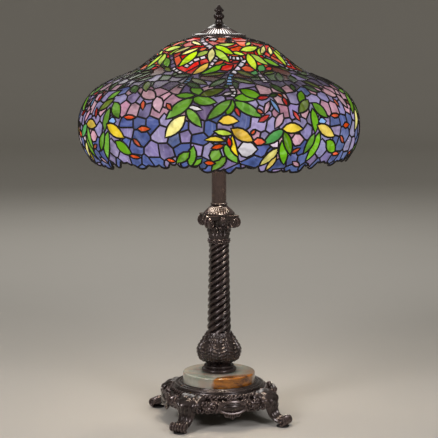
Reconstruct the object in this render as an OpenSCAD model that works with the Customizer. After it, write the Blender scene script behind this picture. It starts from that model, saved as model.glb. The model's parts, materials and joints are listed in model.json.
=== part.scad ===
// Leaded glass table lamp: three pull-chain lights under a domed shade,
// on a rope-twist column with a stone disc and a four-footed cast base.
// Millimetres, +Z up. The origin is on the table, under the stem's axis.

/* [Base] */
// Height of the platform that the stone disc sits on
base_h = 70; // [60:1:84]
// Radius of the cast platform at its rope border
base_r = 90; // [82:1:104]
// Radius at the skirt's widest point
skirt_r = 106; // [100:1:128]
// Thickness of the casting's walls
base_wall = 5; // [4:0.5:8]
// Height of the skirt's lower edge above the table
skirt_gap = 32; // [26:1:38]
// Radius of each foot's toe tip from the axis
toe_reach = 152; // [145:1:175]
// Width of a leg at its ankle
leg_w = 22; // [18:1:30]
// Radius of the scroll at a toe
toe_r = 8; // [6:0.5:10]
// Thickness of the felt pads under the feet
felt_t = 1.5; // [1:0.5:3]

/* [Stone disc] */
// Radius of the stone disc
disc_r = 69; // [58:1:76]
// Thickness of the stone disc
disc_t = 22; // [16:1:30]
// Depth of its seat in the platform
disc_seat = 2; // [1:0.5:4]

/* [Stem] */
// Height of the smooth collar on the disc
collar_h = 14; // [10:1:18]
// Radius of the collar
collar_r = 34; // [29:1:40]
// Height of the leafed baluster
baluster_h = 63; // [52:1:75]
// Radius of the baluster at its belly
baluster_r = 43.5; // [36:0.5:48]
// Height of the rope-twist column
column_h = 170; // [120:1:200]
// Radius of the column at its foot
column_r = 22; // [20:0.5:25]
// Radius of the column at its top
column_top_r = 18.5; // [16:0.5:20]
// Strands in the rope twist
strands = 6; // [4:1:8]
// Height of the beaded ring over the column
bead_ring_h = 10; // [8:1:14]
// Height of the capital, from the beaded ring to the top of its square slab
capital_h = 46; // [42:1:56]
// Side of the capital's square slab
slab_side = 64; // [58:1:72]
// Height of the fluted dome on the capital
dome_h = 17; // [13:1:22]
// Outer radius of the plain tube over the capital
tube_r = 14; // [12:0.5:16]
// Length of the plain tube
tube_len = 167; // [150:1:170]
// Outer radius of the threaded pipe that ties the stack together
rod_r = 4.85; // [4:0.05:6]
// Bore radius of the threaded pipe, for the wires
rod_bore_r = 3.2; // [2.5:0.1:3.5]

/* [Lights] */
// Number of lights
lights = 3; // [3:1:3]
// Angle of each light above the horizontal
light_tilt = 15; // [10:1:22]
// Radius of the canister that the lights branch from
hub_r = 21; // [19:0.5:25]
// Height of the canister
hub_h = 30; // [26:1:36]
// Outer radius of a socket's shell
socket_r = 17; // [16:0.5:19]
// Length of a socket, cap and shell
socket_len = 50; // [46:1:54]
// Radius of a bulb's globe
bulb_r = 27; // [24:1:29]
// Length of a bulb from the end of its screw base to its crown
bulb_len = 98; // [92:1:104]
// Radius of a bulb's screw base
screw_r = 13; // [12.5:0.1:13.5]
// Beads in a pull chain
chain_beads = 22; // [16:1:28]
// Radius of a bead
bead_r = 1.6; // [1.2:0.1:2]
// How far a chain travels when it is pulled
pull_travel = 10; // [6:1:12]

/* [Shade] */
// Radius of the shade where it is widest
shade_r = 262.5; // [240:0.5:290]
// Height of the shade from its rim to its crown
shade_h = 232; // [210:1:250]
// How far the rim hangs below the foot of the light hub
shade_drop = 85; // [76:1:95]
// Thickness of the glass
glass_t = 3; // [2.5:0.5:4]
// Radius of the opening in the shade's crown
crown_r = 46; // [44:1:56]
// Depth of the scallops along the rim
scallop_depth = 6; // [3:1:9]
// Number of scallops round the rim
scallops = 36; // [24:4:48]
// Height of the pierced cap, to the finial's seat
cap_h = 24; // [20:1:32]
// Number of vents in the cap
vents = 40; // [24:1:48]
// Height of the finial over the cap
finial_h = 35.5; // [33:0.5:46]

/* [Hidden] */

fine = 96;
small = 48;
clear = 0.3;          // between a pipe and the pieces threaded on it
turn_clear = 0.05;    // between a piece that turns and what it turns on
lift = 0.4;           // between stacked faces of pieces that move against each other
quarter = 90;

// The stack, from the table up. Each piece seats on the one under it.
disc_z = base_h - disc_seat;
collar_z = disc_z + disc_t;
baluster_z = collar_z + collar_h;
column_z = baluster_z + baluster_h;
bead_ring_z = column_z + column_h;
capital_z = bead_ring_z + bead_ring_h;
dome_z = capital_z + capital_h;
tube_z = dome_z + dome_h;
hub_z = tube_z + tube_len;
hub_cover_t = 4;
hub_top = hub_z + hub_h + hub_cover_t;

// The pipe over the hub carries the shade, so the rim goes up and down with the hub.
rim_z = hub_z - shade_drop;
crown_z = rim_z + shade_h;
wheel_t = 3.5;
wheel_z = crown_z - wheel_t - lift;
nut_t = 8;
nut_r = 9;
nut_z = wheel_z - nut_t;
ring_t = 1.2;
cap_z = crown_z + ring_t;
finial_z = cap_z + cap_h + lift;
finial_thread = 10;
pipe_top = finial_z + finial_thread;
pipe_join = hub_z + hub_h - 6;

// Points on the shade's outer curve, from the crown to the rim: a share of the
// radius between the crown's opening and the widest point, and a share of the height.
function shade_shares() = [[0.02, 0], [0.20, 0.05], [0.315, 0.122], [0.415, 0.196], [0.487, 0.244],
    [0.60, 0.292], [0.73, 0.34], [0.822, 0.389], [0.885, 0.437], [0.935, 0.495], [0.972, 0.56],
    [0.996, 0.63], [1, 0.70], [0.995, 0.78], [0.968, 0.865], [0.93, 0.925], [0.875, 1]];
// One point of a smooth curve through four points, t from 0 to 1 between the middle two.
function smooth(a, b, c, d, t) = 0.5 * (2 * b + (c - a) * t + (2 * a - 5 * b + 4 * c - d) * t * t
    + (3 * b - a - 3 * c + d) * t * t * t);
function at(list, i) = list[max(0, min(len(list) - 1, i))];
function through(list, steps) = [for (i = [0 : len(list) - 2], s = [0 : steps - 1])
    smooth(at(list, i - 1), at(list, i), at(list, i + 1), at(list, i + 2), s / steps),
    at(list, len(list) - 1)];
function shade_curve() = [for (p = through(shade_shares(), 2))
    [crown_r + p[0] * (shade_r - crown_r), crown_z - p[1] * shade_h]];
// The direction square to a curve at point i, pointing to its outside.
function outward(curve, i) = let (d = at(curve, i + 1) - at(curve, i - 1)) [-d[1], d[0]] / norm(d);
function inset(curve, depth) = [for (i = [0 : len(curve) - 1]) curve[i] - depth * outward(curve, i)];

// Points on an arc from angle a to angle b.
function arc(x, y, r, a, b, steps = 8) = [for (i = [0 : steps])
    [x + r * cos(a + (b - a) * i / steps), y + r * sin(a + (b - a) * i / steps)]];

module lathe(points) rotate_extrude($fn = fine) polygon(points);
module round_tube(r, bore, h) difference() {
    cylinder(r = r, h = h, $fn = fine);
    translate([0, 0, -1]) cylinder(r = bore, h = h + 2, $fn = fine);
}
module four_times() for (i = [0 : 3]) rotate([0, 0, quarter * i]) children();
module on_corners() rotate([0, 0, quarter / 2]) four_times() children();

module pipe_hole(z, h) translate([0, 0, z]) cylinder(r = rod_r + clear, h = h, $fn = small);

// ---- Base ----

foot_pad_r = 12;
foot_x = toe_reach - toe_r - 4;
module felt_pads() color("dimgray") on_corners()
    translate([foot_x, 0, 0]) cylinder(r = foot_pad_r, h = felt_t, $fn = small);

// The cast platform and skirt, open underneath.
lip_r = disc_r + 9;
boss_r = 20;
plate_t = base_wall + disc_seat;
boss_z = base_h - plate_t - 8;
function platform_top() = concat(
    [[disc_r + clear, base_h + 1], [disc_r + 3, base_h + 1.5]],
    arc(lip_r - 2, base_h, 2, 90, 0),
    [[base_r - 5, base_h - 1.5]],
    arc(base_r - 3, base_h - 10, 4.5, 100, -50),
    [[base_r + 1, base_h - 16], [skirt_r - 2, base_h - 22], [skirt_r, base_h - 28],
     [skirt_r - 2, skirt_gap + 4], [skirt_r - 6, skirt_gap]]);
module platform() lathe(concat(
    [[rod_r + clear, boss_z], [rod_r + clear, base_h - disc_seat],
     [disc_r + clear, base_h - disc_seat]],
    platform_top(),
    [[skirt_r - 6 - base_wall, skirt_gap], [skirt_r - 1 - base_wall, base_h - 30],
     [skirt_r - 4 - base_wall, base_h - 26], [base_r - base_wall, base_h - 20],
     [base_r - 4 - base_wall, base_h - 12], [base_r - 12 - base_wall, base_h - plate_t - 1],
     [boss_r, base_h - plate_t], [boss_r - 3, boss_z]]));
// All that the platform covers, which the feet are cut away to.
module platform_block() lathe(concat([[0, skirt_gap], [0, base_h + 1]], platform_top()));

// A leg's side, outwards along X: a full knee, a narrow ankle and a scrolled toe.
knee_x = skirt_r + 16;
ankle_x = toe_reach - 3 * toe_r;
ankle_z = 20;
foot_z = felt_t;
module leg_side() {
    polygon(concat(
        [[base_r - 14, base_h - 9], [base_r + 6, base_h - 7]],
        arc(knee_x - 14, base_h - 28, 15, 80, -10),
        [[ankle_x - 1, ankle_z + 8], [ankle_x + 2, ankle_z - 2]],
        arc(toe_reach - toe_r, foot_z + toe_r, toe_r, 120, -90),
        [[ankle_x - 6, foot_z], [ankle_x - 11, ankle_z - 8], [knee_x - 14, skirt_gap],
         [skirt_r - 12, skirt_gap + 8]]));
}
module leg() {
    rotate([90, 0, 0]) linear_extrude(leg_w, center = true) leg_side();
    translate([toe_reach - toe_r, 0, foot_z + toe_r]) rotate([90, 0, 0])
        cylinder(r = toe_r, h = leg_w + 10, center = true, $fn = small);
    translate([knee_x - 11, 0, base_h - 27]) rotate([90, 0, 0])
        cylinder(r = 10, h = leg_w + 12, center = true, $fn = small);
}
// The oval boss in the middle of each side of the skirt, with a drop below it.
oval_r = 14.5;
oval_side = 12.5;
oval_z = skirt_gap + 11.5;
drop_r = 9;
module oval_boss() translate([skirt_r - 7, 0, oval_z]) {
    for (s = [-1, 1]) translate([0, s * oval_side, 0]) rotate([0, 90, 0])
        cylinder(r = oval_r, h = 12, $fn = small);
    translate([0, -oval_side, -oval_r]) cube([12, 2 * oval_side, 2 * oval_r]);
    translate([0, 0, -16]) rotate([0, 90, 0]) cylinder(r = drop_r, h = 8, $fn = small);
}
bushing_r = 5;
bushing_z = oval_z;
module bushing_axis() translate([0, skirt_r, bushing_z]) rotate([-90, 0, 0]) children();
module base_casting() color("saddlebrown") difference() {
    union() {
        platform();
        four_times() oval_boss();
    }
    bushing_axis() translate([0, 0, -20]) cylinder(r = bushing_r + 0.1, h = 40, $fn = small);
}
module foot(i) color("saddlebrown") rotate([0, 0, quarter * (i + 0.5)]) difference() {
    leg();
    platform_block();
}
bushing_bore = 3.2;
bushing_len = 14;
module cord_bushing() color("black") bushing_axis() translate([0, 0, 5.1]) difference() {
    union() {
        translate([0, 0, 2 - bushing_len]) cylinder(r = bushing_r, h = bushing_len - 2, $fn = small);
        cylinder(r = bushing_r + 2, h = 2, $fn = small);
    }
    translate([0, 0, -bushing_len]) cylinder(r = bushing_bore, h = 2 * bushing_len, $fn = small);
}
module stone_disc() color("wheat") difference() {
    lathe(concat([[0, disc_z], [disc_r, disc_z]],
        arc(disc_r - 3, collar_z - 3, 3, 0, 90), [[0, collar_z]]));
    pipe_hole(disc_z - 1, disc_t + 2);
}
washer_t = 2;
stem_nut_t = 7;
module stem_washer() color("silver") translate([0, 0, boss_z - washer_t])
    round_tube(boss_r - 5, rod_r + clear, washer_t);
module hex_nut(h) difference() {
    cylinder(r = nut_r, h = h, $fn = 6);
    translate([0, 0, -1]) cylinder(r = rod_r + 0.03, h = h + 2, $fn = small);
}
module stem_nut() color("goldenrod") translate([0, 0, boss_z - washer_t - stem_nut_t])
    hex_nut(stem_nut_t);

// ---- Stem ----

neck_r = 23.5;
module foot_collar() color("saddlebrown") lathe(concat(
    [[rod_r + clear, collar_z], [collar_r - 3, collar_z]],
    arc(collar_r - 4, collar_z + 4, 4, -60, 80),
    arc(neck_r + 3, collar_z + collar_h - 3.2, 2.6, -40, 90),
    [[neck_r, collar_z + collar_h], [rod_r + clear, collar_z + collar_h]]));

belly_z = baluster_z + 0.49 * baluster_h;
function baluster_curve() = through([[neck_r - 1, baluster_z], [neck_r + 1, baluster_z + 5],
    [neck_r + 10, baluster_z + 0.2 * baluster_h], [baluster_r - 1.5, belly_z - 8],
    [baluster_r, belly_z], [baluster_r - 3, belly_z + 9], [column_r + 10, belly_z + 20],
    [column_r + 6.5, baluster_z + baluster_h]], 4);
cast_wall = 5;
module baluster() color("saddlebrown") lathe(let (outer = baluster_curve(), inner = inset(outer, -cast_wall))
    concat(outer, [[rod_r + clear, baluster_z + baluster_h], [rod_r + clear, baluster_z + baluster_h - 4]],
        [for (i = [len(inner) - 3 : -1 : 1]) inner[i]], [[inner[0][0], baluster_z]]));

// The rope twist: a ring of round strands, turned and narrowed as it rises.
strand_lead = 70;
strand_steps = 8;
strand_share = 0.86;
module strand_outline() polygon([for (i = [0 : strands - 1], s = [0 : strand_steps - 1])
    let (a = 360 / strands * (i + (s + 0.5) / strand_steps),
         r = column_r * (strand_share + (1 - strand_share) * sin(180 * (s + 0.5) / strand_steps)))
    [r * cos(a), r * sin(a)]]);
module rope_column() color("saddlebrown") translate([0, 0, column_z]) difference() {
    linear_extrude(column_h, twist = -360 * column_h / strand_lead, slices = round(column_h / 2.6),
        scale = column_top_r / column_r) strand_outline();
    pipe_hole(-1, column_h + 2);
    translate([0, 0, -1]) cylinder(r = column_top_r * strand_share - 3, h = column_h - 3, $fn = small);
}
module bead_ring() color("saddlebrown") lathe(concat(
    [[rod_r + clear, bead_ring_z], [column_top_r - 1, bead_ring_z]],
    arc(column_top_r, bead_ring_z + bead_ring_h / 2, bead_ring_h / 2 - 1, -80, 80),
    [[column_top_r - 1, bead_ring_z + bead_ring_h], [rod_r + clear, bead_ring_z + bead_ring_h]]));

slab_t = 6;
volute_r = 11;
volute_w = 10;
bell_top = capital_z + capital_h - slab_t;
slab_z = bell_top;
module slab() difference() {
    translate([-slab_side / 2, -slab_side / 2, slab_z]) cube([slab_side, slab_side, slab_t]);
    four_times() translate([slab_side * 1.3, 0, slab_z - 1])
        cylinder(r = slab_side * 0.85, h = slab_t + 2, $fn = fine);
}
module volute() translate([slab_side * 0.61 - volute_r / 2, 0, slab_z + 3 - volute_r]) rotate([90, 0, 0])
    cylinder(r = volute_r, h = volute_w, center = true, $fn = small);
module capital() color("saddlebrown") difference() {
    union() {
        lathe(concat([[0, capital_z]],
            through([[column_top_r + 1.5, capital_z], [column_top_r + 3, capital_z + 14],
                [column_top_r + 6.5, bell_top - 10], [column_top_r + 12, bell_top]], 4),
            [[0, bell_top]]));
        slab();
        on_corners() volute();
    }
    pipe_hole(capital_z - 1, capital_h + 2);
}
dome_r = slab_side * 0.46;
module capital_dome() color("saddlebrown") lathe(concat(
    [[rod_r + clear, dome_z], [dome_r, dome_z], [dome_r, dome_z + 1.5]],
    through([[dome_r - 1, dome_z + 3], [dome_r - 6, dome_z + 8], [tube_r + 2, dome_z + dome_h - 1]], 4),
    [[tube_r + 1.5, tube_z], [rod_r + clear, tube_z]]));
ring_h = 5;
module tube_ring() color("saddlebrown") lathe(concat(
    [[tube_r, tube_z]], arc(tube_r, tube_z + ring_h / 2, ring_h / 2 - 0.2, -80, 80, 10),
    [[tube_r, tube_z + ring_h]]));
tube_wall = 1.2;
module stem_tube() color("saddlebrown") translate([0, 0, tube_z])
    round_tube(tube_r - 0.05, tube_r - tube_wall, tube_len);
module stem_pipe() color("goldenrod") translate([0, 0, boss_z - washer_t - stem_nut_t - 3])
    round_tube(rod_r, rod_bore_r, pipe_join - boss_z + washer_t + stem_nut_t + 3);

// ---- Lights ----

hub_wall = 2;
light_z = hub_z + hub_h / 2;
module light_axis(i) rotate([0, 0, 360 / lights * i - 90]) translate([0, 0, light_z])
    rotate([0, 90 - light_tilt, 0]) children();
arm_r = 5.5;
arm_end = hub_r + 12;
module light_hub() color("saddlebrown") difference() {
    translate([0, 0, hub_z]) cylinder(r = hub_r, h = hub_h, $fn = fine);
    translate([0, 0, hub_z + 6]) cylinder(r = hub_r - hub_wall, h = hub_h, $fn = fine);
    pipe_hole(hub_z - 1, 8);
    for (i = [0 : lights - 1]) light_axis(i) cylinder(r = arm_r + 0.1, h = hub_r + 10, $fn = small);
}
module hub_cover() color("saddlebrown") translate([0, 0, hub_z + hub_h]) difference() {
    cylinder(r1 = hub_r + 1, r2 = hub_r - 8, h = hub_cover_t, $fn = fine);
    translate([0, 0, -1]) cylinder(r = rod_r + clear, h = hub_cover_t + 2, $fn = small);
}
module light_arm(i) color("goldenrod") light_axis(i) translate([0, 0, hub_r - 5])
    round_tube(arm_r, arm_r - 1.5, arm_end - hub_r + 9);
// A socket starts at the arm's end. The cap is a dome, the shell a plain sleeve.
socket_cap_len = 16;
socket_wall = 1;
module socket_cap(i) color("goldenrod") difference() {
    union() {
        light_axis(i) translate([0, 0, arm_end]) lathe(concat([[0, 0], [arm_r + 2, 0]],
            arc(socket_r - 7, 8, 7, -40, 0, 6), [[socket_r, socket_cap_len], [0, socket_cap_len]]));
        port_axis(i) translate([0, 0, -port_drop]) cylinder(r = port_r, h = port_drop - 6, $fn = small);
    }
    light_axis(i) translate([0, 0, arm_end + 3])
        cylinder(r = socket_r - 4, h = socket_cap_len, $fn = fine);
    light_axis(i) translate([0, 0, arm_end - 1]) cylinder(r = arm_r + 0.05, h = 10, $fn = small);
    port_axis(i) translate([0, 0, -port_drop - 1]) cylinder(r = port_bore, h = port_drop, $fn = small);
}
shell_z = arm_end + socket_cap_len;
shell_len = socket_len - socket_cap_len;
module socket_shell(i) color("goldenrod") light_axis(i) translate([0, 0, shell_z])
    round_tube(socket_r, socket_r - socket_wall, shell_len);
core_floor = 6;
module socket_core(i) color("white") light_axis(i) translate([0, 0, shell_z]) difference() {
    cylinder(r = socket_r - socket_wall - 0.05, h = shell_len - 1, $fn = fine);
    translate([0, 0, core_floor]) cylinder(r = screw_r + turn_clear, h = shell_len, $fn = fine);
}
// A bulb's screw base, and its globe with a tapered neck.
screw_len = 25;
bulb_z = shell_z + core_floor + 0.5;
module bulb_screw(i) color("silver") light_axis(i) translate([0, 0, bulb_z]) lathe(
    [[0, 0], [4, 0], [screw_r - 1, 4], [screw_r, 5], [screw_r, screw_len], [0, screw_len]]);
globe_z = bulb_len - bulb_r;
module bulb_glass(i) color("ivory") light_axis(i) translate([0, 0, bulb_z]) lathe(concat(
    [[0, screw_len], [screw_r - 0.5, screw_len], [screw_r + 0.5, screw_len + 6],
     [bulb_r * 0.8, globe_z - bulb_r * 0.62]],
    arc(0, globe_z, bulb_r, -32, 90, 14)));

// The pull chain hangs from a mouth under each socket's cap.
port_r = 4.5;
port_bore = 2.6;
port_drop = 25;
chain_pitch = 4.2;
port_along = arm_end + 11;
port_z = light_z + port_along * sin(light_tilt);
module port_axis(i) rotate([0, 0, 360 / lights * i - 90])
    translate([port_along * cos(light_tilt), 0, port_z]) children();
chain_len = chain_pitch * (chain_beads - 1);
chain_core = 0.6;
module pull_chain(i) color("goldenrod") port_axis(i) translate([0, 0, -2]) {
    for (k = [0 : chain_beads - 1]) translate([0, 0, -chain_pitch * k]) sphere(r = bead_r, $fn = 24);
    translate([0, 0, -chain_len - bead_r]) cylinder(r = chain_core, h = chain_len + bead_r, $fn = 24);
}
knob_h = 16;
module pull_knob(i) color("goldenrod") port_axis(i)
    translate([0, 0, -2 - chain_len - bead_r - knob_h]) lathe(concat([[0, 0]],
        arc(0, 4, 4, -80, 30, 8), [[2.4, 8.5], [3.4, 12.5], [1.6, knob_h], [0, knob_h]]));

// ---- Shade ----

pipe_start = pipe_join + 1;
module shade_pipe() color("goldenrod") translate([0, 0, pipe_start])
    round_tube(rod_r, rod_bore_r, pipe_top - pipe_start);
module seat_nut() color("goldenrod") translate([0, 0, nut_z]) hex_nut(nut_t);
spokes = 6;
wheel_rim = 6;
module seat_wheel() color("goldenrod") translate([0, 0, wheel_z]) linear_extrude(wheel_t) difference() {
    union() {
        difference() {
            circle(r = crown_r + 1, $fn = fine);
            circle(r = crown_r + 1 - wheel_rim, $fn = fine);
        }
        for (i = [0 : spokes - 1]) rotate([0, 0, 360 / spokes * i + 30])
            translate([8, -3]) square([crown_r - 11, 6]);
        circle(r = 12, $fn = small);
    }
    circle(r = rod_r + 0.1, $fn = small);
}

// The crown ring holds the glass's upper edge and rests on the wheel.
module crown_ring() color("saddlebrown") lathe([[crown_r - 4, crown_z], [crown_r + 2, crown_z],
    [crown_r + 2, crown_z - 6], [crown_r + 3, crown_z - 6], [crown_r + 3, crown_z],
    [crown_r + 5, crown_z], [crown_r + 5, cap_z], [crown_r - 4, cap_z]]);

// The leaded shell, in three bands that meet face to face.
shoulder_at = 8;
skirt_at = 18;
module shade_band(from, to) lathe(let (outer = shade_curve(), inner = inset(outer, glass_t))
    concat([for (i = [from : to]) outer[i]], [for (i = [to : -1 : from]) inner[i]]));
module shade_crown() color("olivedrab") shade_band(0, shoulder_at);
module shade_shoulder() color("olivedrab") shade_band(shoulder_at, skirt_at);
notch_r = scallop_depth;
module shade_skirt() color("olivedrab") difference() {
    shade_band(skirt_at, len(shade_curve()) - 1);
    for (i = [0 : scallops - 1]) rotate([0, 0, 360 / scallops * i])
        translate([shade_r * 0.75, 0, rim_z]) rotate([0, 90, 0])
            cylinder(r = notch_r, h = shade_r * 0.4, $fn = small);
}

// A soldered wire that stiffens the rim, just inside the glass.
wire_r = 1.1;
wire_z = rim_z + scallop_depth + 12;
module rim_wire() color("dimgray") translate([0, 0, wire_z]) rotate_extrude($fn = fine)
    translate([rim_at(wire_z) - 1.4 * wire_r - 0.2, 0]) circle(r = wire_r, $fn = 16);
// The inner face's radius at height z near the rim.
function rim_at(z) = let (c = inset(shade_curve(), glass_t))
    min([for (i = [round(len(c) * 0.7) : len(c) - 2])
        if (c[i + 1][1] <= z && c[i][1] >= z)
            c[i][0] + (c[i + 1][0] - c[i][0]) * (c[i][1] - z) / (c[i][1] - c[i + 1][1])]);

cap_t = 1.2;
vent_out = crown_r - 9;
vent_in = crown_r - 24.5;
function cap_curve() = concat(
    through([[rod_r + 2.6, cap_z + cap_h], [rod_r + 5.6, cap_z + 0.98 * cap_h],
        [vent_in - 4, cap_z + 0.82 * cap_h], [vent_in, cap_z + 0.68 * cap_h]], 3),
    through([[vent_out, cap_z + 0.30 * cap_h], [crown_r - 4.5, cap_z + 0.26 * cap_h],
        [crown_r + 1, cap_z + 0.19 * cap_h], [crown_r + 4.5, cap_z + 2.2]], 3),
    [[crown_r + 5.5, cap_z + 1.2]]);
module heat_cap() color("saddlebrown") difference() {
    lathe(let (outer = cap_curve(), inner = inset(outer, cap_t), last = len(outer) - 1)
        concat(outer, [[crown_r + 5.5, cap_z + 0.1], [crown_r + 4, cap_z + 0.1]],
            [for (i = [last - 1 : -1 : 2]) inner[i]],
            [[rod_r + 2, cap_z + cap_h - 5], [rod_r + turn_clear, cap_z + cap_h - 5],
             [rod_r + turn_clear, cap_z + cap_h]]));
    for (i = [0 : vents - 1]) rotate([0, 0, 360 / vents * i])
        translate([vent_in + 1, -vent_w / 2, cap_z + 4]) cube([vent_out - vent_in - 3, vent_w, cap_h]);
}
vent_w = 1.9;

module finial() color("saddlebrown") translate([0, 0, finial_z]) difference() {
    lathe(concat([[0, 0], [rod_r + 4.5, 0], [rod_r + 3.2, 3]],
        through([[7.4, 5], [6.7, 8.2], [9.3, 12], [9.8, 15], [7, 19], [5.4, 21.4]], 3),
        through([[8.2, 23.6], [8.5, 26], [5.6, 30], [2.6, 33], [1, finial_h - 0.8]], 3),
        [[0, finial_h]]));
    translate([0, 0, -1]) cylinder(r = rod_r + turn_clear, h = finial_thread + 1.6, $fn = small);
}

felt_pads();
foot(0);  // foot_1
foot(1);  // foot_2
foot(2);  // foot_3
foot(3);  // foot_4
base_casting();
cord_bushing();
stone_disc();
stem_washer();
stem_nut();
foot_collar();
baluster();
rope_column();
bead_ring();
capital();
capital_dome();
tube_ring();
stem_tube();
stem_pipe();
light_hub();
hub_cover();
shade_pipe();
seat_nut();
seat_wheel();
crown_ring();
shade_crown();
shade_shoulder();
shade_skirt();
rim_wire();
heat_cap();
finial();
light_arm(0);  // light_arm_1
light_arm(1);  // light_arm_2
light_arm(2);  // light_arm_3
socket_cap(0);  // socket_cap_1
socket_cap(1);  // socket_cap_2
socket_cap(2);  // socket_cap_3
socket_shell(0);  // socket_shell_1
socket_shell(1);  // socket_shell_2
socket_shell(2);  // socket_shell_3
socket_core(0);  // socket_core_1
socket_core(1);  // socket_core_2
socket_core(2);  // socket_core_3
bulb_screw(0);  // bulb_screw_1
bulb_screw(1);  // bulb_screw_2
bulb_screw(2);  // bulb_screw_3
bulb_glass(0);  // bulb_glass_1
bulb_glass(1);  // bulb_glass_2
bulb_glass(2);  // bulb_glass_3
pull_chain(0);  // pull_chain_1
pull_chain(1);  // pull_chain_2
pull_chain(2);  // pull_chain_3
pull_knob(0);  // pull_knob_1
pull_knob(1);  // pull_knob_2
pull_knob(2);  // pull_knob_3
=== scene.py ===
"""Looks of a leaded-glass table lamp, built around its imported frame.

The shade is cut into separate panes of streaky glass with soldered seams. The
metal is cast bronze with a dark patina, and the disc under the stem is onyx.
"""

import json
import logging
import math
from dataclasses import dataclass, field
from enum import Enum
from typing import Callable, Iterable, Optional, Sequence

import bmesh
import bpy
import numpy as np
from mathutils import Matrix, Vector
from mathutils.geometry import delaunay_2d_cdt

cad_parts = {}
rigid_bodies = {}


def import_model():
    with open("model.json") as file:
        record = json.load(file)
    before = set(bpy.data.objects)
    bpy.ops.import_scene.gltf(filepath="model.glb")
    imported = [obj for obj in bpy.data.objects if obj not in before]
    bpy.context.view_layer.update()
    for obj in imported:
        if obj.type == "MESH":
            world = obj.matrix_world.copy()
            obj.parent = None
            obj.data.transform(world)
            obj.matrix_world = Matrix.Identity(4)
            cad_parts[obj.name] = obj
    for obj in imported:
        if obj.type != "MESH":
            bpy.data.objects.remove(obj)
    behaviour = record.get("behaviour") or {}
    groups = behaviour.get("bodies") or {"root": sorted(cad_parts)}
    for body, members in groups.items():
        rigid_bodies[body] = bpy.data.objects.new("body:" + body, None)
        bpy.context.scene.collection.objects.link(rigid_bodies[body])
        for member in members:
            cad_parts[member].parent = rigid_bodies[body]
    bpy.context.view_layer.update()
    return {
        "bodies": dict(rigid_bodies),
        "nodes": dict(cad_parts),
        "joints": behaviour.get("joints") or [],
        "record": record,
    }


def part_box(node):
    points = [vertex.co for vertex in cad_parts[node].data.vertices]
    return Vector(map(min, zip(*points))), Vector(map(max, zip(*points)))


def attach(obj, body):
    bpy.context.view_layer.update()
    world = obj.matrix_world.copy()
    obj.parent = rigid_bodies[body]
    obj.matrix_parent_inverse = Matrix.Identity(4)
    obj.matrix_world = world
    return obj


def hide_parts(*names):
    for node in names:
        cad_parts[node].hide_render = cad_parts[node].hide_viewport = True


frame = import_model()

logging.basicConfig(level=logging.INFO, format="%(message)s")
LOG = logging.getLogger("lamp")

Point = tuple[float, float]
MM = 0.001
FULL_TURN = 2.0 * math.pi


def linear(red: int, green: int, blue: int) -> tuple[float, float, float]:
    """Turns a screen colour into the light values that a shader takes.

    Args:
        red: Red, 0 to 255.
        green: Green, 0 to 255.
        blue: Blue, 0 to 255.

    Returns:
        The same colour in linear light.
    """
    return tuple(((c / 255.0) / 12.92) if c < 11 else (((c / 255.0) + 0.055) / 1.055) ** 2.4
                 for c in (red, green, blue))


def spline(points: Sequence[Point], steps: int) -> list[Point]:
    """Draws one smooth curve through some points.

    Args:
        points: The points to pass through, in order.
        steps: Pieces that each span is cut into.

    Returns:
        The curve's points, both ends included.
    """
    curve: list[Point] = []
    last = len(points) - 1
    for i in range(last):
        a, b, c, d = (np.array(points[min(max(j, 0), last)]) for j in (i - 1, i, i + 1, i + 2))
        for k in range(steps):
            t = k / steps
            curve.append(tuple(0.5 * (2 * b + (c - a) * t + (2 * a - 5 * b + 4 * c - d) * t * t
                                      + (3 * b - a - 3 * c + d) * t ** 3)))
    curve.append(tuple(points[last]))
    return curve


def radius_of(node: str) -> float:
    """Gives a round CAD node's outer radius in metres."""
    low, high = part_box(node)
    return 0.25 * ((high.x - low.x) + (high.y - low.y))


# ---------------------------------------------------------------------------
# Shader building blocks
# ---------------------------------------------------------------------------

class Graph:
    """A short way to write a node tree."""

    def __init__(self, tree: bpy.types.NodeTree) -> None:
        """Keeps the tree that the calls add to.

        Args:
            tree: The tree of a material or a group.
        """
        self.tree = tree

    def add(self, kind: str, settings: Optional[dict] = None, **inputs: object) -> bpy.types.Node:
        """Adds a node and fills or links its inputs.

        Args:
            kind: The node's type name.
            settings: Attributes to set on the node.
            inputs: Values or sockets by input name; an underscore stands for a space, and a
                name such as i2 is the input's place in the list.

        Returns:
            The new node.
        """
        node = self.tree.nodes.new(kind)
        for key, value in (settings or {}).items():
            setattr(node, key, value)
        for key, value in inputs.items():
            known = key[0] == "i" and key[1:].isdigit()
            socket = node.inputs[int(key[1:])] if known else node.inputs[key.replace("_", " ")]
            if isinstance(value, bpy.types.NodeSocket):
                self.tree.links.new(value, socket)
            else:
                socket.default_value = value
        return node

    def math(self, operation: str, a: object, b: object = 0.0) -> bpy.types.NodeSocket:
        """Adds a Math node and returns its result."""
        return self.add("ShaderNodeMath", {"operation": operation}, i0=a, i1=b).outputs[0]

    def remap(self, value: object, low: float, high: float, to_low: float = 0.0,
              to_high: float = 1.0) -> bpy.types.NodeSocket:
        """Maps a value from one span to another, held within it, and returns the result."""
        return self.add("ShaderNodeMapRange", {"clamp": True}, Value=value, From_Min=low,
                        From_Max=high, To_Min=to_low, To_Max=to_high).outputs[0]

    def mix(self, factor: object, a: object, b: object, blend: str = "MIX") -> bpy.types.NodeSocket:
        """Mixes two colours and returns the result."""
        node = self.add("ShaderNodeMix", {"data_type": "RGBA", "blend_type": blend}, i0=factor)
        for place, value in ((6, a), (7, b)):
            if isinstance(value, bpy.types.NodeSocket):
                self.tree.links.new(value, node.inputs[place])
            else:
                node.inputs[place].default_value = (*value, 1.0) if len(value) == 3 else value
        return node.outputs[2]


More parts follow.
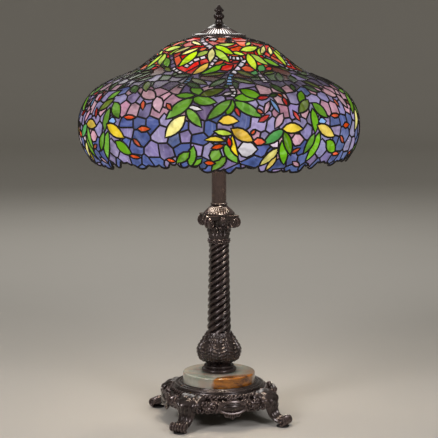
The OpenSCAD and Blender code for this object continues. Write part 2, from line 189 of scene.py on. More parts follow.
class ShaderGroups:
    """The effects that several finishes share, each built once."""

    def __init__(self) -> None:
        """Starts with no group built."""
        self._built: dict[str, bpy.types.NodeTree] = {}

    def _new(self, name: str, inputs: dict[str, float], outputs: dict[str, str]) -> Graph:
        """Makes an empty group with its sockets.

        Args:
            name: The group's name.
            inputs: Value inputs and their defaults.
            outputs: Output names and socket types.

        Returns:
            The graph to fill in.
        """
        tree = bpy.data.node_groups.new(name, "ShaderNodeTree")
        for key, value in inputs.items():
            socket = tree.interface.new_socket(key, in_out="INPUT", socket_type="NodeSocketFloat")
            socket.default_value = value
        for key, kind in outputs.items():
            tree.interface.new_socket(key, in_out="OUTPUT", socket_type=kind)
        self._built[name] = tree
        return Graph(tree)

    def wear(self) -> bpy.types.NodeTree:
        """Builds the edge wear: a mask of worn edges and a mask of dark hollows.

        Returns:
            The group, with inputs Scale, Edge and Hollow and outputs Worn, Grime and Mottle.
        """
        if "edge_wear" in self._built:
            return self._built["edge_wear"]
        g = self._new("edge_wear", {"Scale": 60.0, "Edge": 0.52, "Hollow": 0.47},
                      {"Worn": "NodeSocketFloat", "Grime": "NodeSocketFloat",
                       "Mottle": "NodeSocketFloat"})
        ports = g.add("NodeGroupInput")
        place = g.add("ShaderNodeTexCoord").outputs["Object"]
        point = g.add("ShaderNodeNewGeometry").outputs["Pointiness"]
        noise = g.add("ShaderNodeTexNoise", Vector=place, Scale=ports.outputs["Scale"],
                      Detail=5.0, Roughness=0.6).outputs["Fac"]
        rough_edge = g.math("ADD", point, g.math("MULTIPLY", g.math("SUBTRACT", noise, 0.5), 0.06))
        worn = g.add("ShaderNodeMapRange", {"clamp": True}, Value=rough_edge,
                     From_Min=ports.outputs["Edge"],
                     From_Max=g.math("ADD", ports.outputs["Edge"], 0.06)).outputs[0]
        grime = g.add("ShaderNodeMapRange", {"clamp": True}, Value=rough_edge,
                      From_Min=ports.outputs["Hollow"],
                      From_Max=g.math("SUBTRACT", ports.outputs["Hollow"], 0.06)).outputs[0]
        end = g.add("NodeGroupOutput")
        g.tree.links.new(worn, end.inputs["Worn"])
        g.tree.links.new(grime, end.inputs["Grime"])
        g.tree.links.new(noise, end.inputs["Mottle"])
        return g.tree

    def grain(self) -> bpy.types.NodeTree:
        """Builds the fine unevenness of a cast or brushed surface.

        Returns:
            The group, with inputs Scale and Depth and the output Normal.
        """
        if "surface_grain" in self._built:
            return self._built["surface_grain"]
        g = self._new("surface_grain", {"Scale": 400.0, "Depth": 0.0002},
                      {"Normal": "NodeSocketVector"})
        ports = g.add("NodeGroupInput")
        place = g.add("ShaderNodeTexCoord").outputs["Object"]
        noise = g.add("ShaderNodeTexNoise", Vector=place, Scale=ports.outputs["Scale"],
                      Detail=4.0, Roughness=0.55).outputs["Fac"]
        bump = g.add("ShaderNodeBump", Strength=0.6, Distance=ports.outputs["Depth"], Height=noise)
        end = g.add("NodeGroupOutput")
        g.tree.links.new(bump.outputs["Normal"], end.inputs["Normal"])
        return g.tree


GROUPS = ShaderGroups()


@dataclass(frozen=True)
class Finish:
    """What every finish has: a name and a way to make its material."""

    name: str

    def start(self, **constants: object) -> tuple[Graph, bpy.types.Node]:
        """Makes the material with one Principled shader.

        Args:
            constants: Values for the shader's own inputs, by name with underscores.

        Returns:
            The graph and the shader.
        """
        material = bpy.data.materials.new(self.name)
        material.use_nodes = True
        graph = Graph(material.node_tree)
        shader = material.node_tree.nodes["Principled BSDF"]
        for key, value in constants.items():
            shader.inputs[key.replace("_", " ")].default_value = value
        return graph, shader

    def make(self) -> bpy.types.Material:
        """Builds the material."""
        raise NotImplementedError


@dataclass(frozen=True)
class MetalFinish(Finish):
    """Cast or turned metal with worn edges and darker hollows."""

    body: tuple[float, float, float] = (0.1, 0.1, 0.1)
    edge: tuple[float, float, float] = (0.3, 0.3, 0.3)
    hollow: tuple[float, float, float] = (0.01, 0.01, 0.01)
    metallic: float = 0.9
    roughness: tuple[float, float] = (0.35, 0.5)
    grain_scale: float = 500.0
    grain_depth: float = 0.00012
    wear_scale: float = 45.0
    lacquer: float = 0.0
    shine: float = 0.5

    def make(self) -> bpy.types.Material:
        """Builds the metal.

        Returns:
            The material.
        """
        g, shader = self.start(Metallic=self.metallic, Coat_Weight=self.lacquer,
                               Coat_Roughness=0.2, Specular_IOR_Level=self.shine)
        wear = g.add("ShaderNodeGroup", {"node_tree": GROUPS.wear()}, Scale=self.wear_scale)
        tinted = g.mix(g.math("MULTIPLY", wear.outputs["Grime"], 0.85), self.body, self.hollow)
        mottled = g.mix(g.remap(wear.outputs["Mottle"], 0.45, 0.7, 0.0, 0.35), tinted, self.edge)
        colour = g.mix(g.math("MULTIPLY", wear.outputs["Worn"], 0.8), mottled, self.edge)
        g.tree.links.new(colour, shader.inputs["Base Color"])
        rough = g.remap(wear.outputs["Mottle"], 0.3, 0.7, *self.roughness)
        g.tree.links.new(rough, shader.inputs["Roughness"])
        grain = g.add("ShaderNodeGroup", {"node_tree": GROUPS.grain()}, Scale=self.grain_scale,
                      Depth=self.grain_depth)
        g.tree.links.new(grain.outputs["Normal"], shader.inputs["Normal"])
        return bpy.data.materials[self.name]


@dataclass(frozen=True)
class PaneFinish(Finish):
    """Streaky opalescent glass whose light from behind is painted in as emission. Each pane brings its
    own colour and flow.
    """

    streak_scale: float = 26.0
    glow: float = 1.0

    def make(self) -> bpy.types.Material:
        """Builds the glass.

        Returns:
            The material.
        """
        g, shader = self.start(Roughness=0.3, Emission_Strength=self.glow, Specular_IOR_Level=0.12)
        tone = g.add("ShaderNodeAttribute", {"attribute_name": "tone"}).outputs["Color"]
        lit = g.add("ShaderNodeAttribute", {"attribute_name": "lit"}).outputs["Fac"]
        flow = g.add("ShaderNodeUVMap", {"uv_map": "flow"}).outputs["UV"]
        drawn = g.add("ShaderNodeVectorMath", {"operation": "MULTIPLY"}, i0=flow,
                      i1=(1.0, 0.28, 1.0)).outputs[0]
        streak = g.add("ShaderNodeTexNoise", Vector=drawn, Scale=self.streak_scale * 4.0,
                       Detail=4.0, Roughness=0.55, Distortion=0.7).outputs["Fac"]
        cloud = g.add("ShaderNodeTexNoise", Vector=flow, Scale=self.streak_scale * 2.0,
                      Detail=2.0).outputs["Fac"]
        lighter = g.mix(0.22, g.mix(1.0, tone, (1.7, 1.7, 1.7), "MULTIPLY"), (0.9, 0.86, 0.8))
        pale = g.mix(g.remap(streak, 0.5, 0.78, 0.0, 0.6), tone, lighter)
        deep = g.mix(g.remap(cloud, 0.52, 0.28, 0.0, 0.5), pale, (0.0, 0.0, 0.0))
        # painted light: the emission colour is the glass tone dimmed by the painted lit share down the
        # curve
        shade = g.mix(1.0, deep, lit, "MULTIPLY")
        g.tree.links.new(g.mix(0.9, deep, (0.004, 0.004, 0.004)), shader.inputs["Base Color"])
        g.tree.links.new(shade, shader.inputs["Emission Color"])
        bump = g.add("ShaderNodeBump", Strength=0.25, Distance=0.0006, Height=cloud)
        g.tree.links.new(bump.outputs["Normal"], shader.inputs["Normal"])
        return bpy.data.materials[self.name]


@dataclass(frozen=True)
class OnyxFinish(Finish):
    """Polished stone, cream and grey-green, with an amber block at the front right."""

    def make(self) -> bpy.types.Material:
        """Builds the stone.

        Returns:
            The material.
        """
        g, shader = self.start(Roughness=0.16, Coat_Weight=0.5, Coat_Roughness=0.05,
                               Subsurface_Weight=0.15, Subsurface_Scale=0.01)
        place = g.add("ShaderNodeTexCoord").outputs["Object"]
        turned = g.add("ShaderNodeMapping", Vector=place, Rotation=(0.5, 0.35, 0.4),
                       Scale=(9.0, 15.0, 22.0)).outputs[0]
        warp = g.add("ShaderNodeTexNoise", Vector=turned, Scale=1.2, Detail=5.0,
                     Roughness=0.6, Distortion=1.1).outputs["Fac"]
        band = g.add("ShaderNodeTexWave", {"bands_direction": "DIAGONAL"}, Vector=turned,
                     Scale=0.8, Distortion=6.0, Detail=4.0, Detail_Scale=1.3).outputs["Fac"]
        pale = g.mix(g.remap(warp, 0.35, 0.65), linear(134, 142, 128), linear(188, 184, 170))
        pale = g.mix(g.remap(band, 0.72, 0.98, 0.0, 0.5), pale, linear(176, 148, 132))
        fleck = g.add("ShaderNodeTexNoise", Vector=turned, Scale=5.0, Detail=6.0,
                      Roughness=0.7).outputs["Fac"]
        amber = g.mix(g.remap(fleck, 0.38, 0.62), linear(84, 44, 8), linear(172, 106, 22))
        wander = g.math("MULTIPLY", g.math("SUBTRACT", warp, 0.5), 0.03)
        masks = []
        for ahead, right, low, high in ((0.9, 0.42, 0.052, 0.056), (0.0, 1.0, -0.030, -0.027),
                                        (0.35, 0.94, 0.034, 0.056)):
            way = (-0.242 * ahead + 0.970 * right, -0.970 * ahead - 0.242 * right, 0.0)
            reach = g.add("ShaderNodeVectorMath", {"operation": "DOT_PRODUCT"}, i0=place,
                          i1=way).outputs["Value"]
            masks.append(g.remap(g.math("ADD", reach, wander), low, high))
        block = g.math("MULTIPLY", masks[0], masks[1])
        colour = g.mix(g.math("MULTIPLY", masks[2], 0.6), pale, linear(120, 84, 52))
        g.tree.links.new(g.mix(block, colour, amber), shader.inputs["Base Color"])
        g.tree.links.new(g.remap(fleck, 0.3, 0.7, 0.12, 0.24), shader.inputs["Roughness"])
        return bpy.data.materials[self.name]


@dataclass(frozen=True)
class LampGlassFinish(Finish):
    """A frosted bulb that is on. With a paler colour it also makes the painted glow of the cap's liner.
    """

    colour: tuple[float, float, float] = (1.0, 0.86, 0.62)
    strength: float = 6.0

    def make(self) -> bpy.types.Material:
        """Builds the lit glass.

        Returns:
            The material.
        """
        g, shader = self.start(Roughness=0.4, Emission_Strength=self.strength)
        place = g.add("ShaderNodeTexCoord").outputs["Object"]
        frost = g.add("ShaderNodeTexNoise", Vector=place, Scale=90.0, Detail=2.0).outputs["Fac"]
        glow = g.mix(g.remap(frost, 0.3, 0.7, 0.0, 0.2), self.colour, (1.0, 0.95, 0.85))
        g.tree.links.new(glow, shader.inputs["Emission Color"])
        shader.inputs["Base Color"].default_value = (0.9, 0.88, 0.82, 1.0)
        return bpy.data.materials[self.name]


@dataclass(frozen=True)
class PlainFinish(Finish):
    """A non-metal with slight colour and roughness variation, such as felt or porcelain."""

    body: tuple[float, float, float] = (0.5, 0.5, 0.5)
    other: tuple[float, float, float] = (0.6, 0.6, 0.6)
    scale: float = 200.0
    roughness: float = 0.6
    depth: float = 0.0001

    def make(self) -> bpy.types.Material:
        """Builds the finish.

        Returns:
            The material.
        """
        g, shader = self.start(Roughness=self.roughness)
        place = g.add("ShaderNodeTexCoord").outputs["Object"]
        noise = g.add("ShaderNodeTexNoise", Vector=place, Scale=self.scale, Detail=5.0).outputs["Fac"]
        g.tree.links.new(g.mix(noise, self.body, self.other), shader.inputs["Base Color"])
        grain = g.add("ShaderNodeGroup", {"node_tree": GROUPS.grain()}, Scale=self.scale * 3.0,
                      Depth=self.depth)
        g.tree.links.new(grain.outputs["Normal"], shader.inputs["Normal"])
        return bpy.data.materials[self.name]


# ---------------------------------------------------------------------------
# Meshes
# ---------------------------------------------------------------------------

def mesh_piece(name: str, points: np.ndarray, faces: Sequence[Sequence[int]],
               material: bpy.types.Material, sharp_deg: float = 40.0) -> bpy.types.Object:
    """Makes one object from points and faces, smooth but for its sharp edges.

    Args:
        name: The object's name.
        points: Corner positions in metres, one row each.
        faces: Corner numbers of each face.
        material: The finish.
        sharp_deg: Edges bent further than this stay crisp.

    Returns:
        The object, linked to the scene.
    """
    mesh = bpy.data.meshes.new(name)
    mesh.from_pydata([tuple(map(float, p)) for p in points], [], [tuple(f) for f in faces])
    mesh.materials.append(material)
    mesh.polygons.foreach_set("use_smooth", [True] * len(mesh.polygons))
    mesh.update()
    mesh.set_sharp_from_angle(angle=math.radians(sharp_deg))
    piece = bpy.data.objects.new(name, mesh)
    bpy.context.scene.collection.objects.link(piece)
    return piece


def surface_piece(name: str, grid: np.ndarray, material: bpy.types.Material,
                  close_u: bool = True, caps: bool = False,
                  sharp_deg: float = 40.0) -> bpy.types.Object:
    """Makes a surface from a grid of points, with rows going up and columns going round.

    Args:
        name: The object's name.
        grid: Points shaped (rows, columns, 3), in metres, counter-clockwise from above.
        material: The finish.
        close_u: Whether the last column meets the first.
        caps: Whether the first and last row are filled with one face each.
        sharp_deg: Edges bent further than this stay crisp.

    Returns:
        The object.
    """
    rows, cols = grid.shape[:2]
    faces = []
    for r in range(rows - 1):
        for c in range(cols if close_u else cols - 1):
            d = (c + 1) % cols
            faces.append((r * cols + c, r * cols + d, (r + 1) * cols + d, (r + 1) * cols + c))
    if caps:
        faces.append(tuple(range(cols - 1, -1, -1)))
        faces.append(tuple((rows - 1) * cols + c for c in range(cols)))
    return mesh_piece(name, grid.reshape(-1, 3), faces, material, sharp_deg)


def turned_grid(profile: Sequence[Point], columns: int,
                shape: Optional[Callable[[np.ndarray, np.ndarray, np.ndarray], np.ndarray]] = None
                ) -> np.ndarray:
    """Turns a profile into a grid round the Z axis.

    Args:
        profile: Radius and height pairs in millimetres, from the bottom up.
        columns: Points round the axis.
        shape: Gives the radius in millimetres from radius, angle and height, for carved work.

    Returns:
        The grid in metres, shaped (rows, columns, 3).
    """
    p = np.array(profile, float)
    angle = np.linspace(0.0, FULL_TURN, columns, endpoint=False)[None, :]
    radius = np.repeat(p[:, :1], columns, 1)
    height = np.repeat(p[:, 1:], columns, 1)
    if shape is not None:
        radius = shape(radius, np.repeat(angle, len(p), 0), height)
    return np.stack([radius * np.cos(angle), radius * np.sin(angle), height], -1) * MM


def join(name: str, pieces: Sequence[bpy.types.Object]) -> bpy.types.Object:
    """Joins pieces into one object.

    Args:
        name: The joined object's name.
        pieces: The pieces, which are used up.

    Returns:
        The joined object.
    """
    bpy.ops.object.select_all(action="DESELECT")
    for piece in pieces:
        piece.select_set(True)
    bpy.context.view_layer.objects.active = pieces[0]
    bpy.ops.object.join()
    pieces[0].name = name
    pieces[0].data.name = name
    return pieces[0]


# ---------------------------------------------------------------------------
# Geometry node trees
# ---------------------------------------------------------------------------

class RepeatTree:
    """A node tree that repeats or sweeps something, built once and used with other sizes."""

    def __init__(self, name: str, inputs: Sequence[tuple[str, str, object]]) -> None:
        """Makes the tree and its named inputs.

        Args:
            name: The tree's name.
            inputs: Name, socket type and default of each input after the geometry.
        """
        self.tree = bpy.data.node_groups.new(name, "GeometryNodeTree")
        face = self.tree.interface
        face.new_socket("Geometry", in_out="INPUT", socket_type="NodeSocketGeometry")
        self.sockets: dict[str, str] = {}
        for key, kind, default in inputs:
            socket = face.new_socket(key, in_out="INPUT", socket_type=kind)
            if default is not None:
                socket.default_value = default
            self.sockets[key] = socket.identifier
        face.new_socket("Geometry", in_out="OUTPUT", socket_type="NodeSocketGeometry")
        self.g = Graph(self.tree)
        self.ports = self.g.add("NodeGroupInput").outputs

    def finish(self, geometry: bpy.types.NodeSocket) -> None:
        """Ends the tree in Realize Instances and Set Material.

        Args:
            geometry: The geometry to give out.
        """
        real = self.g.add("GeometryNodeRealizeInstances", Geometry=geometry).outputs[0]
        coat = self.g.add("GeometryNodeSetMaterial", Geometry=real,
                          Material=self.ports["Material"]).outputs[0]
        end = self.g.add("NodeGroupOutput")
        self.tree.links.new(coat, end.inputs[0])

    def run(self, name: str, source: bpy.types.Mesh, sharp_deg: float = 40.0,
            **values: object) -> bpy.types.Object:
        """Runs the tree on a mesh and keeps the result as a plain mesh.

        Args:
            name: The new object's name.
            source: The mesh that goes in.
            sharp_deg: Edges bent further than this stay crisp.
            values: The tree's inputs, by name with underscores for spaces.

        Returns:
            The finished object.
        """
        holder = bpy.data.objects.new(name, source)
        bpy.context.scene.collection.objects.link(holder)
        modifier = holder.modifiers.new("repeat", "NODES")
        modifier.node_group = self.tree
        for key, value in values.items():
            modifier[self.sockets[key.replace("_", " ")]] = value
        seen = holder.evaluated_get(bpy.context.evaluated_depsgraph_get())
        mesh = bpy.data.meshes.new_from_object(seen)
        holder.modifiers.clear()
        holder.data = mesh
        mesh.name = name
        mesh.polygons.foreach_set("use_smooth", [True] * len(mesh.polygons))
        mesh.set_sharp_from_angle(angle=math.radians(sharp_deg))
        return holder


def ring_tree() -> RepeatTree:
    """Builds the tree that sets copies of a motif round the Z axis.

    Returns:
        The tree, with inputs Count, Radius, Height, Turn, Tilt and Material.
    """
    tree = RepeatTree("ring_of_copies", (
        ("Count", "NodeSocketInt", 12), ("Radius", "NodeSocketFloat", 0.1),
        ("Height", "NodeSocketFloat", 0.0), ("Turn", "NodeSocketFloat", 0.0),
        ("Tilt", "NodeSocketFloat", 0.0), ("Material", "NodeSocketMaterial", None)))
    g, ports = tree.g, tree.ports
    line = g.add("GeometryNodeMeshLine", {"mode": "OFFSET"}, Count=ports["Count"],
                 Offset=(0.0, 0.0, 0.0)).outputs[0]
    index = g.add("GeometryNodeInputIndex").outputs[0]
    step = g.math("DIVIDE", FULL_TURN, ports["Count"])
    angle = g.math("ADD", g.math("MULTIPLY", index, step), ports["Turn"])
    place = g.add("ShaderNodeCombineXYZ", X=g.math("MULTIPLY", g.math("COSINE", angle), ports["Radius"]),
                  Y=g.math("MULTIPLY", g.math("SINE", angle), ports["Radius"]),
                  Z=ports["Height"]).outputs[0]
    moved = g.add("GeometryNodeSetPosition", Geometry=line, Position=place).outputs[0]
    facing = g.add("ShaderNodeCombineXYZ", X=ports["Tilt"], Y=0.0, Z=angle).outputs[0]
    copies = g.add("GeometryNodeInstanceOnPoints", Points=moved, Instance=ports["Geometry"],
                   Rotation=facing).outputs[0]
    tree.finish(copies)
    return tree


def seam_tree() -> RepeatTree:
    """Builds the tree that lays a round bead along a net of edges, in each quarter of the shade.

    Returns:
        The tree, with inputs Bead Radius, Quarters and Material.
    """
    tree = RepeatTree("solder_seams", (
        ("Bead Radius", "NodeSocketFloat", 0.0019), ("Quarters", "NodeSocketInt", 4),
        ("Sides", "NodeSocketInt", 6), ("Material", "NodeSocketMaterial", None)))
    g, ports = tree.g, tree.ports
    path = g.add("GeometryNodeMeshToCurve", Mesh=ports["Geometry"]).outputs[0]
    round_wire = g.add("GeometryNodeCurvePrimitiveCircle", Resolution=ports["Sides"],
                       Radius=ports["Bead Radius"]).outputs[0]
    bead = g.add("GeometryNodeCurveToMesh", Curve=path, Profile_Curve=round_wire,
                 Fill_Caps=True).outputs[0]
    line = g.add("GeometryNodeMeshLine", {"mode": "OFFSET"}, Count=ports["Quarters"],
                 Offset=(0.0, 0.0, 0.0)).outputs[0]
    index = g.add("GeometryNodeInputIndex").outputs[0]
    turn = g.math("MULTIPLY", index, g.math("DIVIDE", FULL_TURN, ports["Quarters"]))
    facing = g.add("ShaderNodeCombineXYZ", X=0.0, Y=0.0, Z=turn).outputs[0]
    copies = g.add("GeometryNodeInstanceOnPoints", Points=line, Instance=bead,
                   Rotation=facing).outputs[0]
    tree.finish(copies)
    return tree


# ---------------------------------------------------------------------------
# The leaded shade
# ---------------------------------------------------------------------------

class Tone(Enum):
    """The glasses the shade is cut from, as they look with the lamp on."""

    LEAF = (104, 162, 34)
    SPRING = (192, 224, 52)
    OLIVE = (100, 116, 36)
    MOSS = (62, 90, 34)
    TEAL = (92, 168, 92)
    GOLD = (226, 192, 62)
    STRAW = (234, 224, 132)
    RED = (204, 42, 30)
    ORANGE = (228, 88, 38)
    RUST = (196, 84, 50)
    PINK = (200, 152, 168)
    LAVENDER = (144, 132, 174)
    BLUE = (86, 100, 156)
    SKY = (128, 170, 222)
    PEARL = (222, 208, 218)
    MAUVE = (106, 92, 122)
    BROWN = (92, 42, 34)


# Leaves, buds and petals of one quarter: the angle in degrees and the distance
# down the curve in millimetres of both tips, the width and the sideways bow.
CUTS: dict[Tone, tuple[tuple[float, ...], ...]] = {
    Tone.ORANGE: (
        (-40, 253, -34, 253, 8), (-32.5, 273, -27, 272, 10), (-38, 322, -32.5, 325, 8),
        (-21, 326, -17.4, 330, 8), (-2.7, 303, 2, 298, 9), (-5.7, 331, -1.6, 333, 10),
        (13.3, 292, 17.2, 293, 11), (12, 280, 13.7, 272, 6), (15, 236, 17.2, 243, 7),
        (-20.5, 58, -12, 50, 9), (-3.8, 98, 4.4, 86, 9), (16.4, 107, 24.6, 113, 17)),
    Tone.RED: (
        (16, 213, 21.4, 210, 9), (15.2, 258, 19.6, 247, 9), (28, 211, 28.4, 231, 8),
        (3.5, 285, 4.2, 302, 8), (30.4, 240, 32.6, 259, 8), (6.4, 231, 7.9, 248, 8),
        (1.5, 112, 9.8, 100, 15), (34, 113, 41, 107, 10), (9.5, 92, 16.5, 88, 8)),
    Tone.RUST: (
        (-33, 220, -31.6, 238, 9), (-34.8, 290, -31.2, 304, 8), (-21.5, 225, -19, 237, 8),
        (29, 315, 32.8, 307, 7), (26.3, 202, 28, 211, 7)),
    Tone.GOLD: (
        (5, 271, 12.6, 291, 17), (-5.2, 289, 2.5, 291, 9, -3), (5, 282, 7.4, 319, 10, 4),
        (22.9, 320, 19.6, 351, 10), (41.4, 269, 50.6, 289, 17), (-8.4, 94, -16.4, 129, 13),
        (0.3, 257, 6.8, 257, 15, -3), (25, 272, 33.2, 273, 15, -2)),
    Tone.STRAW: (
        (-13.4, 249, -20.2, 284, 20), (22.8, 306, 16.7, 338, 13), (-6.8, 54, -7, 88, 11),
        (-42.5, 21, -19.5, 43, 10), (-36.8, 71, -21, 50, 10), (-47.5, 67, -30, 45, 9)),
    Tone.OLIVE: (
        (-7.8, 205, 2.2, 187, 16), (39.6, 221, 33.3, 243, 14), (-40, 164, -34.8, 195, 12),
        (5, 122, -11.5, 135, 10), (28.5, 129, 39.5, 121, 9), (12.3, 116, 21.6, 140, 12),
        (8, 145, 17.4, 169, 12), (-42.3, 106, -33.6, 120, 10), (-15, 147, -6.4, 171, 13)),
    Tone.MOSS: (
        (41.2, 126, 34, 160, 12), (3.2, 147, -4.2, 180, 13), (-28, 137, -16.6, 131, 12),
        (26.4, 173, 29.6, 199, 12), (38.2, 175, 35.8, 196, 10), (-45, 182, -40, 201, 14),
        (-15.6, 166, -9.4, 182, 13), (-42, 140, -48, 166, 13), (22, 208, 25.7, 204, 8)),
    Tone.TEAL: (
        (24.9, 274, 17.2, 296, 15), (34.4, 101, 28.2, 117, 13), (25.2, 117, 20.8, 132, 11)),
    Tone.LEAF: (
        (-11.3, 214, -20.2, 252, 20), (-12.6, 235, -6.9, 265, 14), (-11, 213, -1.6, 221, 18),
        (-18.2, 206, -10.4, 205, 11), (-12.8, 181, -6.8, 204, 16), (10.2, 190, 17.8, 211, 19),
        (6.8, 212, 15.2, 214, 16, -3), (4.7, 217, -4.2, 253, 15), (5.5, 218, 3.2, 245, 13),
        (6.2, 220, 16.3, 249, 17), (2.2, 298, 7, 330, 16), (-0.2, 306, -2.6, 327, 19),
        (2.4, 320, -2.6, 347, 14), (-11.6, 312, -16.8, 332, 13), (-9.7, 302, -11.6, 339, 13),
        (-6.7, 323, -10.3, 339, 10), (25.4, 277, 28.8, 317, 13), (24.4, 295, 27, 336, 14),
        (40.2, 240, 39.8, 279, 14), (41.8, 228, 47.2, 254, 18), (39.6, 199, 35.3, 226, 13),
        (39.2, 284, 35.2, 316, 12), (42, 282, 37.6, 333, 15), (-43.4, 298, -36.8, 319, 18),
        (4.4, 95, -11.4, 128, 12), (-50, 82, -40.6, 103, 13)),
    Tone.SPRING: (
        (-21.6, 61, -30.2, 102, 16), (-10, 60, -21.6, 74, 11), (-3.8, 55, 7.8, 89, 14),
        (-3.8, 43, 12.8, 68, 14), (-3.4, 43, 19.4, 35, 11), (12.4, 62, 24, 71, 10),
        (22.2, 58, 45, 48, 13), (39, 70, 50.5, 52, 12), (27, 69, 26, 111, 15),
        (30.2, 70, 39.8, 99, 15), (37, 78, 47.4, 107, 12), (-50, 54, -42, 47, 10),
        (-1.8, 274, 5.2, 279, 10), (-45, 28, -58, 44, 9)),
    Tone.PINK: (
        (31, 333, 35.4, 345, 9), (20.9, 220, 17.9, 244, 9), (25.3, 246, 21.8, 268, 11),
        (-27, 212, -24, 240, 18), (-36, 196, -28, 214, 20), (28.6, 292, 33.9, 291, 20)),
    Tone.SKY: ((21.8, 216, 24.2, 244, 8), (42.5, 262, 45.6, 262, 12)),
    Tone.PEARL: ((7.4, 306, 14.1, 306, 27), (-12.6, 230, -6.6, 236, 9), (1.6, 203, 6, 198, 8),
                 (20, 290, 22.6, 302, 14), (-13, 2, -7, 16, 14)),
}

# Twigs: the glass, the width and the path's points.
TWIGS: tuple[tuple[Tone, float, tuple[Point, ...]], ...] = (
    (Tone.PEARL, 6, ((-34, 3), (-21, 27), (-7.5, 51))),
    (Tone.SKY, 6, ((20.5, 3), (16, 14), (12.6, 25))),
    (Tone.PEARL, 6, ((-11.5, 76), (-21, 87), (-25, 105))),
    (Tone.PEARL, 6, ((-1.4, 76), (-4, 90), (-7, 107))),
    (Tone.PEARL, 6, ((8.4, 77), (14, 80), (20.4, 80))),
    (Tone.PEARL, 6.5, ((21.6, 83), (15, 103), (8.8, 125))),
    (Tone.SKY, 6.5, ((7.6, 128), (5.8, 150), (5, 174))),
    (Tone.PEARL, 6.5, ((5.8, 178), (6.6, 194), (5.6, 208))),
    (Tone.MAUVE, 5.5, ((-48, 70), (-42, 86), (-34.6, 106))),
    (Tone.PEARL, 5, ((-34.6, 108), (-28, 119), (-22, 128))),
    (Tone.SKY, 6, ((-17, 139), (-16.6, 152), (-17.2, 168))),
    (Tone.PEARL, 6, ((-17.6, 171), (-18.4, 183))),
    (Tone.PEARL, 5.5, ((26.2, 119), (25.6, 142), (24.8, 165))),
)

# The glass between the leaves: a band down the curve, the angles it spans in
# the quarter, and the tones it is cut from.
GROUNDS: tuple[tuple[float, float, float, float, tuple[Tone, ...]], ...] = (
    (0, 36, -45, 45, (Tone.ORANGE, Tone.RED, Tone.ORANGE)),
    (36, 120, -45, 45, (Tone.RED, Tone.RED, Tone.ORANGE)),
    (120, 150, -45, 45, (Tone.BROWN, Tone.MAUVE, Tone.MOSS, Tone.BROWN)),
    (150, 186, -45, 45, (Tone.MAUVE, Tone.LAVENDER, Tone.MAUVE, Tone.MOSS)),
    (186, 250, -45, -18, (Tone.PINK, Tone.LAVENDER, Tone.PINK)),
    (186, 250, -18, 10, (Tone.LAVENDER, Tone.MAUVE, Tone.PINK)),
    (186, 308, 10, 41, (Tone.PINK, Tone.LAVENDER, Tone.LAVENDER)),
    (250, 400, -45, -2, (Tone.BLUE, Tone.BLUE, Tone.LAVENDER)),
    (250, 308, -2, 10, (Tone.LAVENDER, Tone.BLUE, Tone.PINK)),
    (186, 308, 41, 45, (Tone.BLUE, Tone.LAVENDER)),
    (308, 400, -2, 45, (Tone.BLUE, Tone.BLUE, Tone.LAVENDER)),
)

# The lower edge, lobe by lobe: where each ends in degrees, and how far down
# the curve it hangs. The first lobe starts where the last one ends.
LOBES: tuple[tuple[float, float], ...] = (
    (-40.5, 340), (-37.5, 343), (-30.5, 350), (-25, 343), (-20, 346), (-17, 338), (-12, 343),
    (-8, 341), (-1.5, 353), (2, 349), (6.5, 355), (11, 344), (16, 344), (20, 353), (27, 355),
    (31, 355), (38, 361), (40, 345), (44.5, 352))

# The painted glow of the glass down the curve: how brightly the lamp's light is painted into the panes'
# emission, dim at the shoulder.
LIT: tuple[tuple[float, float], ...] = (
    (0, 1.0), (60, 1.05), (104, 0.9), (124, 0.6), (146, 0.42), (176, 0.38), (198, 0.66),
    (230, 0.9), (300, 0.95), (360, 0.88))


